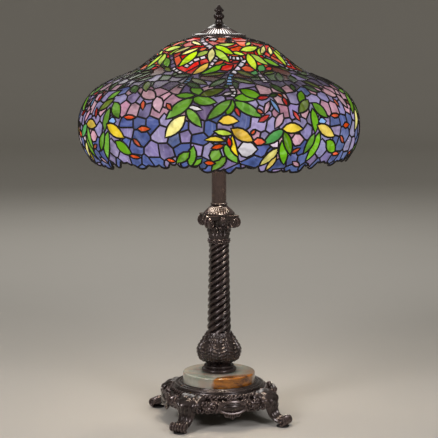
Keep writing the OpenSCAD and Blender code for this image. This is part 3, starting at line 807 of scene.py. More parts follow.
@dataclass
class ShadeCurve:
    """The shade's outer curve, from the crown's opening down to the rim."""

    shares: tuple[Point, ...] = (
        (0.02, 0), (0.20, 0.05), (0.315, 0.122), (0.415, 0.196), (0.487, 0.244), (0.60, 0.292),
        (0.73, 0.34), (0.822, 0.389), (0.885, 0.437), (0.935, 0.495), (0.972, 0.56),
        (0.996, 0.63), (1, 0.70), (0.995, 0.78), (0.968, 0.865), (0.93, 0.925), (0.875, 1))
    crown_radius: float = 46.0
    widest: float = 262.5
    top: float = 724.0
    height: float = 232.0
    radius: np.ndarray = field(init=False)
    level: np.ndarray = field(init=False)
    length: np.ndarray = field(init=False)
    even: np.ndarray = field(init=False)

    def __post_init__(self) -> None:
        """Works out the curve, its length, and the even coordinate.

        One step of the even coordinate is as long down the curve as one degree is round it, so
        shapes keep their proportions when they are laid out flat.
        """
        curve = np.array(spline(self.shares, 16))
        self.radius = self.crown_radius + curve[:, 0] * (self.widest - self.crown_radius)
        self.level = self.top - curve[:, 1] * self.height
        step = np.hypot(np.diff(self.radius), np.diff(self.level))
        self.length = np.concatenate([[0.0], np.cumsum(step)])
        mid = 0.5 * (self.radius[1:] + self.radius[:-1]) * math.radians(1.0)
        self.even = np.concatenate([[0.0], np.cumsum(step / mid)])

    def degree_mm(self, down: float) -> float:
        """Gives the length of one degree round the shade, at a distance down the curve."""
        return float(np.interp(down, self.length, self.radius)) * math.radians(1.0)

    def flat(self, angle: float, down: float) -> Point:
        """Gives a spot's place in the flat layout."""
        down += min(2.0, 0.03 * max(down, 0.0))
        slope = (self.even[-1] - self.even[-2]) / (self.length[-1] - self.length[-2])
        over = max(0.0, down - self.length[-1]) * slope
        return angle, float(np.interp(down, self.length, self.even)) + over + min(0.0, down)

    def down(self, even: np.ndarray) -> np.ndarray:
        """Turns the even coordinate back into distance down the curve."""
        return np.interp(even, self.even, self.length)

    def place(self, angle: np.ndarray, even: np.ndarray, out: np.ndarray) -> np.ndarray:
        """Gives points on the shade.

        Args:
            angle: Polar angles in degrees.
            even: Even coordinates down the curve.
            out: Distance outwards from the curve in millimetres, below zero for inwards.

        Returns:
            Points in metres, one row each.
        """
        radius = np.interp(even, self.even, self.radius)
        level = np.interp(even, self.even, self.level)
        dr = np.interp(even, self.even, np.gradient(self.radius, self.even))
        dz = np.interp(even, self.even, np.gradient(self.level, self.even))
        norm = np.hypot(dr, dz)
        radius = radius - dz / norm * out
        level = level + dr / norm * out
        turn = np.radians(angle)
        return np.stack([radius * np.cos(turn), radius * np.sin(turn), level], -1) * MM


@dataclass
class Pane:
    """One piece of glass: its triangles in the flat layout and its tone."""

    triangles: list[tuple[int, int, int]]
    tone: Tone
    is_cut: bool


class PaneLayout:
    """Cuts a quarter of the shade into panes of glass."""

    quarter: float = 90.0
    step_mm: float = 12.0
    grow_mm: float = 3.6

    def __init__(self, curve: ShadeCurve, seed: int = 11) -> None:
        """Lays out the quarter.

        Args:
            curve: The shade's curve.
            seed: Fixes the ground's cuts and tones.
        """
        self.curve = curve
        self.rng = np.random.default_rng(seed)
        self._lines: list[list[Point]] = []
        self._owners: list[tuple[np.ndarray, Tone]] = []
        self._add_shapes()
        self._seeds = self._ground_seeds()
        self._add_ground_lines()
        self._add_borders()
        self._triangulate()
        self._gather()

    def rim(self, angle: float) -> float:
        """Gives how far down the curve the glass hangs at an angle in degrees."""
        start = LOBES[-1][0] - self.quarter
        turned = (angle - start) % self.quarter + start
        before = (start, LOBES[-1][1])
        for i, (end, peak) in enumerate(LOBES):
            if turned <= end:
                after = LOBES[(i + 1) % len(LOBES)][1]
                t = (turned - before[0]) / (end - before[0])
                low = min(before[1], peak) - 4.0
                high = min(after, peak) - 4.0
                base = low + (high - low) * t
                return base + (peak - base) * math.sin(math.pi * t) ** 0.55
            before = (end, peak)
        return before[1]

    def _cut_outline(self, a0: float, s0: float, a1: float, s1: float, width: float,
                     bow: float = 0.0) -> list[Point]:
        """Draws a pointed leaf in the flat layout.

        Args:
            a0: First tip's angle.
            s0: First tip's distance down the curve.
            a1: Second tip's angle.
            s1: Second tip's distance down the curve.
            width: Width in millimetres.
            bow: How far the middle is pushed to the left of the way from tip to tip.

        Returns:
            The closed outline, without its first point repeated.
        """
        first, last = np.array(self.curve.flat(a0, s0)), np.array(self.curve.flat(a1, s1))
        scale = self.curve.degree_mm(0.5 * (s0 + s1))
        grow = self.grow_mm * (1.0 if width > 10.0 else 0.4)
        tip = (last - first) / np.linalg.norm(last - first) * grow / scale
        first, last = first - 0.9 * tip, last + 0.9 * tip
        along = last - first
        side = np.array([-along[1], along[0]]) / np.linalg.norm(along)
        count = max(3, round(np.linalg.norm(along) * scale / 9.0))
        left, right = [], []
        for i in range(1, count):
            t = i / count
            half = 0.5 * (width + grow) / scale * math.sin(math.pi * t ** 0.9) ** 0.82
            middle = first + along * t + side * bow / scale * math.sin(math.pi * t)
            left.append(tuple(middle + side * half))
            right.append(tuple(middle - side * half))
        return [tuple(first)] + left + [tuple(last)] + right[::-1]

    def _twig_outlines(self, width: float, path: Sequence[Point]) -> list[list[Point]]:
        """Draws a twig as a row of short pieces in the flat layout.

        Args:
            width: Width in millimetres.
            path: The twig's points.

        Returns:
            One closed outline for each piece.
        """
        flat = np.array([self.curve.flat(*p) for p in spline(path, 2)])
        scale = self.curve.degree_mm(path[len(path) // 2][1])
        way = np.gradient(flat, axis=0)
        side = np.stack([-way[:, 1], way[:, 0]], -1) / np.linalg.norm(way, axis=1)[:, None]
        half = 0.5 * (width + self.grow_mm) / scale
        left, right = flat + side * half, flat - side * half
        return [[tuple(left[i]), tuple(left[i + 1]), tuple(right[i + 1]), tuple(right[i])]
                for i in range(len(flat) - 1)]

    def _add_shapes(self) -> None:
        """Adds every leaf, bud and twig, with its neighbours in the next quarters."""
        outlines: list[tuple[list[Point], Tone]] = []
        for tone, cuts in CUTS.items():
            outlines += [(self._cut_outline(*cut), tone) for cut in cuts]
        for tone, width, path in TWIGS:
            outlines += [(o, tone) for o in self._twig_outlines(width, path)]
        for outline, tone in outlines:
            for turn in (-1, 0, 1):
                moved = [(a + turn * self.quarter, s) for a, s in outline]
                self._lines.append(moved + [moved[0]])
                self._owners.append((np.array(moved), tone))

    def _ground_seeds(self) -> np.ndarray:
        """Scatters the middles of the ground panes, the same in each quarter."""
        seeds = []
        down, row = 12.0, 0
        while down < self.curve.length[-1] + 30.0:
            pitch = 34.0 if down < 125 else 27.0
            scale = self.curve.degree_mm(down)
            count = max(3, round(self.quarter * scale / pitch))
            for i in range(count):
                a = (i + 0.5 * (row % 2) + self.rng.uniform(-0.34, 0.34)) * self.quarter / count
                s = down + self.rng.uniform(-0.3, 0.3) * pitch
                seeds.append(self.curve.flat(a - 0.5 * self.quarter, s))
            down += pitch * 0.84
            row += 1
        base = np.array(seeds)
        return np.concatenate([base + (turn * self.quarter, 0.0) for turn in (-2, -1, 0, 1, 2)])

    def _add_ground_lines(self) -> None:
        """Adds the lines halfway between neighbouring ground panes."""
        verts, _, faces, *_ = delaunay_2d_cdt([Vector(p) for p in self._seeds], [], [], 0, 1e-6)
        p = np.array(verts)
        sides: dict[tuple[int, int], list[np.ndarray]] = {}
        for face in faces:
            a, b, c = (p[i] for i in face)
            d = 2 * (a[0] * (b[1] - c[1]) + b[0] * (c[1] - a[1]) + c[0] * (a[1] - b[1]))
            if abs(d) < 1e-9:
                continue
            aa, bb, cc = a @ a, b @ b, c @ c
            middle = np.array([(aa * (b[1] - c[1]) + bb * (c[1] - a[1]) + cc * (a[1] - b[1])) / d,
                               (aa * (c[0] - b[0]) + bb * (a[0] - c[0]) + cc * (b[0] - a[0])) / d])
            for i, j in ((0, 1), (1, 2), (2, 0)):
                sides.setdefault(tuple(sorted((face[i], face[j]))), []).append(middle)
        low, high = -0.5 * self.quarter - 25.0, 0.5 * self.quarter + 25.0
        for ends in sides.values():
            if len(ends) == 2 and all(low < e[0] < high and -30 < e[1] < 400 for e in ends):
                self._lines.append([tuple(ends[0]), tuple(ends[1])])

    def _add_borders(self) -> None:
        """Adds the crown's edge and the scalloped lower edge."""
        low, high = -0.5 * self.quarter - 25.0, 0.5 * self.quarter + 25.0
        steps = np.arange(low, high + 0.01, 1.0)
        self._lines.append([(float(a), 0.0) for a in np.arange(low, high + 0.01, 4.0)])
        self._lines.append([self.curve.flat(float(a), self.rim(float(a))) for a in steps])

    def _triangulate(self) -> None:
        """Splits the quarter into triangles that keep to every line."""
        points: list[Vector] = []
        edges: list[tuple[int, int]] = []
        for line in self._lines:
            start = None
            for a, b in zip(line, line[1:]):
                down = float(self.curve.down(np.array(0.5 * (a[1] + b[1]))))
                span = math.dist(a, b) * self.curve.degree_mm(down)
                cuts = max(1, math.ceil(span / self.step_mm))
                if start is None:
                    points.append(Vector(a))
                    start = len(points) - 1
                for k in range(1, cuts + 1):
                    points.append(Vector((a[0] + (b[0] - a[0]) * k / cuts,
                                          a[1] + (b[1] - a[1]) * k / cuts)))
                    edges.append((len(points) - 2, len(points) - 1))
        verts, _, faces, *_ = delaunay_2d_cdt(points, edges, [], 0, 1e-4)
        self.points = np.array(verts)
        tri = np.array([f for f in faces if len(f) == 3])
        middle = self.points[tri].mean(1)
        limit = np.array([self.curve.flat(a, self.rim(a))[1] for a in middle[:, 0]])
        inside = (middle[:, 1] > 0) & (middle[:, 1] < limit)
        edge = 0.5 * self.quarter + 22.0
        inside &= np.abs(middle[:, 0]) < edge
        self.triangles = tri[inside]
        self.middles = middle[inside]

    def _owner_of(self) -> np.ndarray:
        """Finds which shape or ground pane each triangle belongs to.

        Returns:
            The shape's number, or the number of shapes plus the seed's number.
        """
        owner = np.full(len(self.triangles), -1)
        x, y = self.middles.T
        for number, (outline, _) in enumerate(self._owners):
            free = (owner < 0) & (x > outline[:, 0].min()) & (x < outline[:, 0].max()) \
                & (y > outline[:, 1].min()) & (y < outline[:, 1].max())
            index = np.nonzero(free)[0]
            if not len(index):
                continue
            inside = np.zeros(len(index), bool)
            px, py = x[index], y[index]
            for (ax, ay), (bx, by) in zip(outline, np.roll(outline, -1, 0)):
                crosses = (ay > py) != (by > py)
                with np.errstate(divide="ignore", invalid="ignore"):
                    at = (bx - ax) * (py - ay) / (by - ay) + ax
                inside ^= crosses & (px < at)
            owner[index[inside]] = number
        rest = np.nonzero(owner < 0)[0]
        gap = ((self.middles[rest, None, :] - self._seeds[None, :, :]) ** 2).sum(-1)
        owner[rest] = len(self._owners) + gap.argmin(1)
        return owner

    def _ground_tone(self, angle: float, down: float) -> Tone:
        """Picks a ground pane's tone for its place."""
        half = 0.5 * self.quarter
        turned = (angle + half) % self.quarter - half
        for s0, s1, a0, a1, tones in GROUNDS:
            if s0 <= down < s1 and a0 <= turned <= a1:
                return tones[int(self.rng.integers(len(tones)))]
        return Tone.LAVENDER

    def _gather(self) -> None:
        """Joins triangles of one owner into panes, and gives slivers to a neighbour."""
        owner = self._owner_of()
        pairs: dict[tuple[int, int], list[int]] = {}
        for t, face in enumerate(self.triangles):
            for i, j in ((0, 1), (1, 2), (2, 0)):
                pairs.setdefault(tuple(sorted((int(face[i]), int(face[j])))), []).append(t)
        scale = np.array([self.curve.degree_mm(float(s)) for s in self.curve.down(self.middles[:, 1])])
        a, b, c = (self.points[self.triangles[:, i]] for i in range(3))
        area = 0.5 * np.abs((b - a)[:, 0] * (c - a)[:, 1] - (b - a)[:, 1] * (c - a)[:, 0]) * scale ** 2
        for least in (30.0, 60.0, 90.0, 90.0):
            group = self._groups(owner, pairs)
            total = np.bincount(group, area)
            border: dict[int, dict[int, float]] = {}
            for (i, j), sharing in pairs.items():
                if len(sharing) == 2 and group[sharing[0]] != group[sharing[1]]:
                    size = float(np.linalg.norm(self.points[i] - self.points[j])) * scale[sharing[0]]
                    for m, n in (sharing, sharing[::-1]):
                        near = border.setdefault(int(group[m]), {})
                        near[n] = near.get(n, 0.0) + size
            for number in np.nonzero(total < least)[0]:
                members = np.nonzero(group == number)[0]
                shape = owner[members[0]] < len(self._owners)
                if int(number) not in border or (shape and total[number] > 22.0):
                    continue
                reach: dict[int, float] = {}
                for t, size in border[int(number)].items():
                    if shape or owner[t] >= len(self._owners):
                        reach[int(owner[t])] = reach.get(int(owner[t]), 0.0) + size
                if reach:
                    owner[members] = max(reach, key=reach.get)
        self._group = self._groups(owner, pairs)
        self._pairs = pairs
        self.panes: list[Pane] = []
        weight = np.bincount(self._group, area)
        middle = np.stack([np.bincount(self._group, area * self.middles[:, k]) / weight
                           for k in (0, 1)], -1)
        half = 0.5 * self.quarter
        self._chosen = (middle[:, 0] >= -half) & (middle[:, 0] < half)
        for number in np.nonzero(self._chosen)[0]:
            members = np.nonzero(self._group == number)[0]
            who = int(owner[members[0]])
            is_cut = who < len(self._owners)
            angle, even = middle[number]
            tone = self._owners[who][1] if is_cut else self._ground_tone(
                float(angle), float(self.curve.down(even)))
            self.panes.append(Pane([tuple(map(int, self.triangles[t])) for t in members],
                                   tone, is_cut))

    def _groups(self, owner: np.ndarray, pairs: dict[tuple[int, int], list[int]]) -> np.ndarray:
        """Numbers the connected triangles of each owner.

        Args:
            owner: Each triangle's owner.
            pairs: The triangles on each edge.

        Returns:
            Each triangle's group number.
        """
        root = list(range(len(owner)))

        def find(i: int) -> int:
            """Follows the links to a group's first triangle."""
            while root[i] != i:
                root[i] = root[root[i]]
                i = root[i]
            return i

        for sharing in pairs.values():
            if len(sharing) == 2 and owner[sharing[0]] == owner[sharing[1]]:
                root[find(sharing[0])] = find(sharing[1])
        return np.unique([find(i) for i in range(len(owner))], return_inverse=True)[1]

    def seams(self) -> tuple[list[tuple[int, int]], list[tuple[int, int]]]:
        """Lists the seams of the quarter.

        Returns:
            The edges between panes, and the edges of the lower rim.
        """
        inner, rim = [], []
        for edge, sharing in self._pairs.items():
            groups = {int(self._group[t]) for t in sharing}
            here = [n for n in groups if self._chosen[n]]
            if not here:
                continue
            middle = self.points[list(edge)].mean(0)
            if len(sharing) == 1:
                if middle[1] > 5.0:
                    rim.append(edge)
            elif len(groups) == 2:
                other = (groups - {here[0]}).pop()
                if self._chosen[other] or middle[0] < 0:
                    inner.append(edge)
        return inner, rim


@dataclass
class Shade:
    """The leaded shade: its panes, its seams and the bead along its rim."""

    pane_mm: float = 3.0
    seam_mm: float = 2.0
    rim_mm: float = 2.3
    sunk_mm: float = 0.5
    facing_deg: float = -104.0
    seed: int = 5

    def build(self, finishes: "Finishes", seam: RepeatTree) -> None:
        """Builds the shade and sets it riding on its body.

        Args:
            finishes: The materials.
            seam: The tree that lays the solder beads.
        """
        curve = ShadeCurve()
        layout = PaneLayout(curve)
        glass = self._panes(layout, finishes.pane)
        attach(glass, "shade")
        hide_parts("shade_crown", "shade_shoulder", "shade_skirt")
        LOG.info("shade_panes: %d panes in each quarter, %d faces", len(layout.panes),
                 len(glass.data.polygons))
        inner, rim = layout.seams()
        for name, edges, bead, sides in (("shade_seams", inner, self.seam_mm, 6),
                                         ("shade_rim_bead", rim, self.rim_mm, 8)):
            wire = self._wire(layout, edges)
            piece = seam.run(name, wire, 50.0, Bead_Radius=bead * MM, Quarters=4, Sides=sides,
                             Material=finishes.solder)
            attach(piece, "shade")
            LOG.info("%s: %d edges in each quarter, %d faces", name, len(edges),
                     len(piece.data.polygons))

    def _wire(self, layout: PaneLayout, edges: list[tuple[int, int]]) -> bpy.types.Mesh:
        """Makes the seams' centre lines on the glass.

        Args:
            layout: The laid-out quarter.
            edges: Point numbers of each seam's two ends.

        Returns:
            A mesh of edges.
        """
        used = sorted({i for edge in edges for i in edge})
        number = {p: i for i, p in enumerate(used)}
        flat = layout.points[used]
        spots = layout.curve.place(flat[:, 0] + self.facing_deg, flat[:, 1],
                                   np.full(len(used), -self.sunk_mm))
        mesh = bpy.data.meshes.new("seam_lines")
        mesh.from_pydata([tuple(p) for p in spots], [(number[a], number[b]) for a, b in edges], [])
        bm = bmesh.new()
        bm.from_mesh(mesh)
        bmesh.ops.remove_doubles(bm, verts=bm.verts, dist=1.0 * MM)
        bm.to_mesh(mesh)
        bm.free()
        return mesh

    def _tint(self, tone: Tone, rng: np.random.Generator) -> tuple[float, float, float]:
        """Gives one pane's colour, a little off its tone."""
        base = np.array(linear(*tone.value))
        grey = base.mean()
        shift = base * rng.uniform(0.72, 1.22)
        shift = grey + (shift - grey) * rng.uniform(0.88, 1.12)
        return tuple(np.clip(shift * rng.uniform(0.93, 1.07, 3), 0.0, 1.0))

    def _panes(self, layout: PaneLayout, material: bpy.types.Material) -> bpy.types.Object:
        """Makes every pane as a closed piece of glass.

        Args:
            layout: The laid-out quarter.
            material: The glass.

        Returns:
            One object with all the panes.
        """
        rng = np.random.default_rng(self.seed)
        points: list[np.ndarray] = []
        faces: list[tuple[int, ...]] = []
        tones: list[np.ndarray] = []
        lit: list[np.ndarray] = []
        flows: list[np.ndarray] = []
        start = 0
        # painted light: each corner takes its share of the painted glow from LIT
        downs, glow = np.array(LIT).T
        for turn in range(4):
            for pane in layout.panes:
                used = sorted({i for tri in pane.triangles for i in tri})
                number = {p: i for i, p in enumerate(used)}
                flat = layout.points[used]
                down = layout.curve.down(flat[:, 1])
                scale = layout.curve.degree_mm(float(down.mean()))
                local = (flat - flat.mean(0)) * scale
                tilt = rng.uniform(-1.0, 1.0, 2) * 0.018
                lift = local @ tilt
                angle = flat[:, 0] + self.facing_deg + turn * 90.0
                count = len(used)
                points.append(layout.curve.place(angle, flat[:, 1], np.clip(lift, -0.4, 0.4)))
                points.append(layout.curve.place(angle, flat[:, 1], np.full(count, -self.pane_mm)))
                rim: dict[tuple[int, int], tuple[int, int]] = {}
                for tri in pane.triangles:
                    a, b, c = (number[i] for i in tri)
                    faces.append((start + a, start + c, start + b))
                    faces.append((start + count + a, start + count + b, start + count + c))
                    for i, j in ((a, b), (b, c), (c, a)):
                        if (j, i) in rim:
                            del rim[(j, i)]
                        else:
                            rim[(i, j)] = (i, j)
                for i, j in rim:
                    faces.append((start + i, start + j, start + count + j, start + count + i))
                spin = rng.uniform(0.0, math.pi)
                turned = local @ np.array([[math.cos(spin), math.sin(spin)],
                                           [-math.sin(spin), math.cos(spin)]])
                turned = turned * MM + rng.uniform(-5.0, 5.0, 2)
                tint = (*self._tint(pane.tone, rng), 1.0)
                for _ in (0, 1):
                    tones.append(np.tile(tint, (count, 1)))
                    lit.append(np.interp(down, downs, glow))
                    flows.append(turned)
                start += 2 * count
        piece = mesh_piece("shade_panes", np.concatenate(points), faces, material, 30.0)
        mesh = piece.data
        mesh.attributes.new("tone", "FLOAT_COLOR", "POINT").data.foreach_set(
            "color", np.concatenate(tones).ravel())
        mesh.attributes.new("lit", "FLOAT", "POINT").data.foreach_set("value", np.concatenate(lit))
        corner = np.empty(len(mesh.loops), int)
        mesh.loops.foreach_get("vertex_index", corner)
        layer = mesh.uv_layers.new(name="flow")
        layer.data.foreach_set("uv", np.concatenate(flows)[corner].ravel())
        return piece


# ---------------------------------------------------------------------------
# Carved metal
# ---------------------------------------------------------------------------

@dataclass
class LeafRelief:
    """Acanthus leaves carved round a turned piece."""

    count: int
    tip: float
    root: float
    depth: float
    lobes: float = 6.0
    phase: float = 0.0
    spread: float = 0.46

    def lift(self, angle: np.ndarray, height: np.ndarray) -> np.ndarray:
        """Gives how far the leaves stand out.

        Args:
            angle: Angles round the axis.
            height: Heights in millimetres.

        Returns:
            The height of the relief in millimetres.
        """
        u = np.abs(((angle + self.phase) * self.count / FULL_TURN) % 1.0 - 0.5)
        v = (height - self.tip) / (self.root - self.tip)
        inside = (v > 0.0) & (v < 1.0)
        v = np.clip(v, 0.0, 1.0)
        lobe = np.sin(FULL_TURN * (self.lobes * v + 1.7 * u))
        half = self.spread * np.clip(np.sin(math.pi * v ** 0.62), 0.0, 1.0) ** 0.55
        edge = np.clip((half * (1.0 + 0.17 * lobe) - u) / 0.05, 0.0, 1.0)
        rib = np.exp(-(u / 0.03) ** 2)
        groove = np.exp(-((u - 0.075) / 0.03) ** 2)
        curl = np.exp(-((v - 0.12) / 0.09) ** 2) * np.exp(-(u / 0.16) ** 2)
        return inside * self.depth * edge * (0.62 + 0.3 * lobe * (u > 0.07) + 0.4 * rib
                                             - 0.35 * groove + 0.8 * curl)


def turned(name: str, profile: Sequence[Point], columns: int, material: bpy.types.Material,
           reliefs: Sequence[LeafRelief] = (), closed: bool = False) -> bpy.types.Object:
    """Turns a profile and carves leaves on it.

    Args:
        name: The object's name.
        profile: Radius and height pairs in millimetres, upwards on the outside.
        columns: Points round the axis.
        material: The finish.
        reliefs: Leaves to carve.
        closed: Whether the profile is a loop, for a hollow piece.

    Returns:
        The object.
    """
    def carve(radius: np.ndarray, angle: np.ndarray, height: np.ndarray) -> np.ndarray:
        """Adds every relief to the radius."""
        return radius + sum((r.lift(angle, height) for r in reliefs), np.zeros_like(radius))

    grid = turned_grid(profile, columns, carve if reliefs else None)
    if closed:
        grid = np.concatenate([grid, grid[:1]])
    piece = surface_piece(name, grid, material, caps=not closed)
    if closed:
        weld(piece.data)
    return piece


def weld(mesh: bpy.types.Mesh, distance: float = 1e-6) -> None:
    """Merges doubled corners and turns the faces outwards."""
    bm = bmesh.new()
    bm.from_mesh(mesh)
    bmesh.ops.remove_doubles(bm, verts=bm.verts, dist=distance)
    bmesh.ops.recalc_face_normals(bm, faces=bm.faces)
    bm.to_mesh(mesh)
    bm.free()


def tube(path: np.ndarray, radii: np.ndarray, sides: int = 8,
         flat: float = 1.0) -> tuple[np.ndarray, list[tuple[int, ...]]]:
    """Sweeps a round section along a path.

    Args:
        path: Points in millimetres, one row each.
        radii: The section's radius at each point.
        sides: Points round the section.
        flat: The section's height as a share of its width.

    Returns:
        Points in millimetres, and faces.
    """
    way = np.gradient(path, axis=0)
    way /= np.linalg.norm(way, axis=1)[:, None]
    out = path * (1.0, 1.0, 0.0)
    out /= np.maximum(np.linalg.norm(out, axis=1), 1e-6)[:, None]
    side = np.cross(way, out)
    side /= np.maximum(np.linalg.norm(side, axis=1), 1e-6)[:, None]
    up = np.cross(side, way)
    turn = np.linspace(0.0, FULL_TURN, sides, endpoint=False)[None, :, None]
    ring = path[:, None] + radii[:, None, None] * (np.cos(turn) * side[:, None]
                                                   + flat * np.sin(turn) * up[:, None])
    rows = len(path)
    faces = [(r * sides + c, r * sides + (c + 1) % sides, (r + 1) * sides + (c + 1) % sides,
              (r + 1) * sides + c) for r in range(rows - 1) for c in range(sides)]
    faces += [tuple(range(sides - 1, -1, -1)), tuple((rows - 1) * sides + c for c in range(sides))]
    return ring.reshape(-1, 3), faces


def blob(centre: Sequence[float], size: Sequence[float], rows: int = 6,
         columns: int = 10) -> tuple[np.ndarray, list[tuple[int, ...]]]:
    """Makes a closed egg shape.

    Args:
        centre: Its middle in millimetres.
        size: Half its length along X, Y and Z.
        rows: Rings from pole to pole.
        columns: Points round each ring.

    Returns:
        Points in millimetres, and faces.
    """
    points = [(0.0, 0.0, -1.0)]
    for r in range(1, rows):
        a = math.pi * r / rows - 0.5 * math.pi
        points += [(math.cos(a) * math.cos(FULL_TURN * c / columns),
                    math.cos(a) * math.sin(FULL_TURN * c / columns), math.sin(a))
                   for c in range(columns)]
    points.append((0.0, 0.0, 1.0))
    faces: list[tuple[int, ...]] = []
    for c in range(columns):
        d = (c + 1) % columns
        faces.append((0, 1 + d, 1 + c))
        for r in range(rows - 2):
            a, b = 1 + r * columns, 1 + (r + 1) * columns
            faces.append((a + c, a + d, b + d, b + c))
        top = 1 + (rows - 2) * columns
        faces.append((top + c, top + d, len(points) - 1))
    return np.array(points) * np.array(size) + np.array(centre), faces


def heap(parts: Iterable[tuple[np.ndarray, list[tuple[int, ...]]]],
         name: str = "motif") -> bpy.types.Mesh:
    """Puts several closed shapes into one mesh.

    Args:
        parts: Points in millimetres and faces of each shape.
        name: The mesh's name.

    Returns:
        The mesh, in metres, with its faces outwards.
    """
    points, faces, start = [], [], 0
    for p, f in parts:
        points.append(p)
        faces += [tuple(i + start for i in face) for face in f]
        start += len(p)
    mesh = bpy.data.meshes.new(name)
    mesh.from_pydata([tuple(p) for p in np.concatenate(points) * MM], [], faces)
    bm = bmesh.new()
    bm.from_mesh(mesh)
    bmesh.ops.recalc_face_normals(bm, faces=bm.faces)
    bm.to_mesh(mesh)
    bm.free()
    return mesh


def spiral(centre: Point, radius: float, start_deg: float, turns: float,
           steps: int = 26) -> np.ndarray:
    """Draws a flat scroll that winds in.

    Args:
        centre: The scroll's eye.
        radius: Its outer radius.
        start_deg: Where it starts.
        turns: Turns to the eye, below zero for clockwise.
        steps: Points along it.

    Returns:
        Points in the scroll's plane.
    """
    t = np.linspace(0.0, 1.0, steps)
    angle = math.radians(start_deg) + FULL_TURN * turns * t
    reach = radius * (1.0 - t) ** 0.85 + 0.1 * radius
    return np.stack([centre[0] + reach * np.cos(angle), centre[1] + reach * np.sin(angle)], -1)


def mount(piece: bpy.types.Object, body: str, slot: str, *nodes: str) -> None:
    """Sets a piece riding on its body, hides the CAD nodes it stands for, and reports it.

    Args:
        piece: The finished piece.
        body: The body it moves with.
        slot: Not used.
        nodes: CAD nodes that it replaces.
    """
    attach(piece, body)
    if nodes:
        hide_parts(*nodes)
    LOG.info("%s: %d faces", piece.name, len(piece.data.polygons))


@dataclass
class Stem:
    """The cast stem: baluster, rope column, bead ring, capital and dome."""

    baluster_z: float = 104.0
    column_z: float = 167.0
    ring_z: float = 337.0
    capital_z: float = 347.0
    dome_z: float = 393.0
    tube_z: float = 410.0
    strands: int = 6
    foot_radius: float = 23.4
    head_radius: float = 19.2
    groove: float = 6.6
    slab_corner: float = 43.0
    slab_waist: float = 27.5

    def build(self, finishes: "Finishes", rings: RepeatTree) -> None:
        """Builds every piece of the stem.

        Args:
            finishes: The materials.
            rings: The tree that sets copies round the axis.
        """
        mount(self._baluster(finishes.bronze), "stand", "bronze", "baluster")
        mount(self._column(finishes.bronze), "stand", "bronze", "rope_column")
        mount(self._ring(finishes.bronze, rings), "stand", "bronze", "bead_ring")
        mount(self._capital(finishes.bronze, rings), "stand", "bronze", "capital")
        mount(self._dome(finishes.bronze), "stand", "bronze", "capital_dome")

    def _baluster(self, bronze: bpy.types.Material) -> bpy.types.Object:
        """Turns the bulging baluster and carves its hanging leaves."""
        z = self.baluster_z
        outline = spline(((22.5, z), (25.5, z + 5), (33.5, z + 12), (39.8, z + 21), (40.6, z + 29),
                          (37.6, z + 37), (32.0, z + 46), (26.4, z + 55), (23.4, z + 63)), 9)
        leaves = LeafRelief(8, z + 6, z + 57, 3.2, 8.0, phase=0.24, spread=0.42)
        tips = LeafRelief(16, z + 3, z + 24, 1.8, 3.0, phase=0.24 + math.pi / 16, spread=0.4)
        collar = LeafRelief(16, z + 46, z + 66, 1.6, 3.0, phase=0.24)
        return turned("baluster_leaves", outline, 224, bronze, (leaves, tips, collar))

    def _column(self, bronze: bpy.types.Material) -> bpy.types.Object:
        """Twists the strands of the column, tighter towards the top."""
        levels = np.linspace(self.column_z - 1.0, self.ring_z + 1.0, 150)
        share = (levels - levels[0]) / (levels[-1] - levels[0])
        lead = self.strands * (13.6 + (10.7 - 13.6) * share)
        twist = np.concatenate([[0.0], np.cumsum(FULL_TURN / (0.5 * (lead[1:] + lead[:-1]))
                                                 * np.diff(levels))])
        crest = self.foot_radius + (self.head_radius - self.foot_radius) * share ** 0.8
        angle = np.linspace(0.0, FULL_TURN, 132, endpoint=False)
        wave = np.abs(np.cos(0.5 * self.strands * (angle[None, :] - twist[:, None]))) ** 0.62
        radius = crest[:, None] - self.groove * (1.0 - wave)
        grid = np.stack([radius * np.cos(angle), radius * np.sin(angle),
                         np.repeat(levels[:, None], len(angle), 1)], -1) * MM
        return surface_piece("twisted_column", grid, bronze, caps=True, sharp_deg=70.0)

    def _ring(self, bronze: bpy.types.Material, rings: RepeatTree) -> bpy.types.Object:
        """Makes the ring over the column, with its row of beads."""
        z = self.ring_z
        body = turned("ring_body", spline(((17.5, z), (20.8, z + 1.5), (18.6, z + 3.6),
                                           (18.8, z + 6.4), (22, z + 8.2), (19.5, z + 10)), 4),
                      72, bronze)
        beads = rings.run("ring_beads", heap([blob((0, 0, 0), (2.2, 2.2, 2.2), 5, 8)]), Count=26,
                          Radius=19.9 * MM, Height=(z + 4.9) * MM, Turn=0.0, Tilt=0.0,
                          Material=bronze)
        return join("beaded_ring", (body, beads))

    def _capital(self, bronze: bpy.types.Material, rings: RepeatTree) -> bpy.types.Object:
        """Makes the leafy bell, the hollow-sided slab, its four scrolls and four rosettes."""
        z = self.capital_z
        low = LeafRelief(8, z + 24, z + 1, 2.4, 4.0, phase=0.24)
        high = LeafRelief(8, z + 37, z + 10, 2.2, 4.5, phase=0.24 + math.pi / 8)
        bell = turned("bell", spline(((18.6, z), (18.9, z + 10), (20.2, z + 22), (23.5, z + 33),
                                      (27, z + 41)), 8), 176, bronze, (low, high))
        curls = rings.run("leaf_curls", heap([blob((0, 0, 0), (3.4, 4.2, 2.6))]), Count=8,
                          Radius=22.6 * MM, Height=(z + 22) * MM, Turn=0.24 + math.pi / 8,
                          Tilt=0.0, Material=bronze)
        scrolls = rings.run("corner_scrolls", heap(self._scroll_parts(z)), Count=4,
                            Radius=0.0, Height=0.0, Turn=math.pi / 4, Tilt=0.0, Material=bronze)
        petals = [blob((29.5, 3.4 * math.cos(a), z + 39 + 3.4 * math.sin(a)), (1.6, 2.2, 2.2), 5, 8)
                  for a in np.arange(6) * FULL_TURN / 6]
        rosettes = rings.run("rosettes", heap(petals + [blob((30.4, 0, z + 39), (1.9, 2, 2))]),
                             Count=4, Radius=0.0, Height=0.0, Turn=0.0, Tilt=0.0, Material=bronze)
        return join("leafy_capital", (bell, self._slab(bronze), curls, scrolls, rosettes))

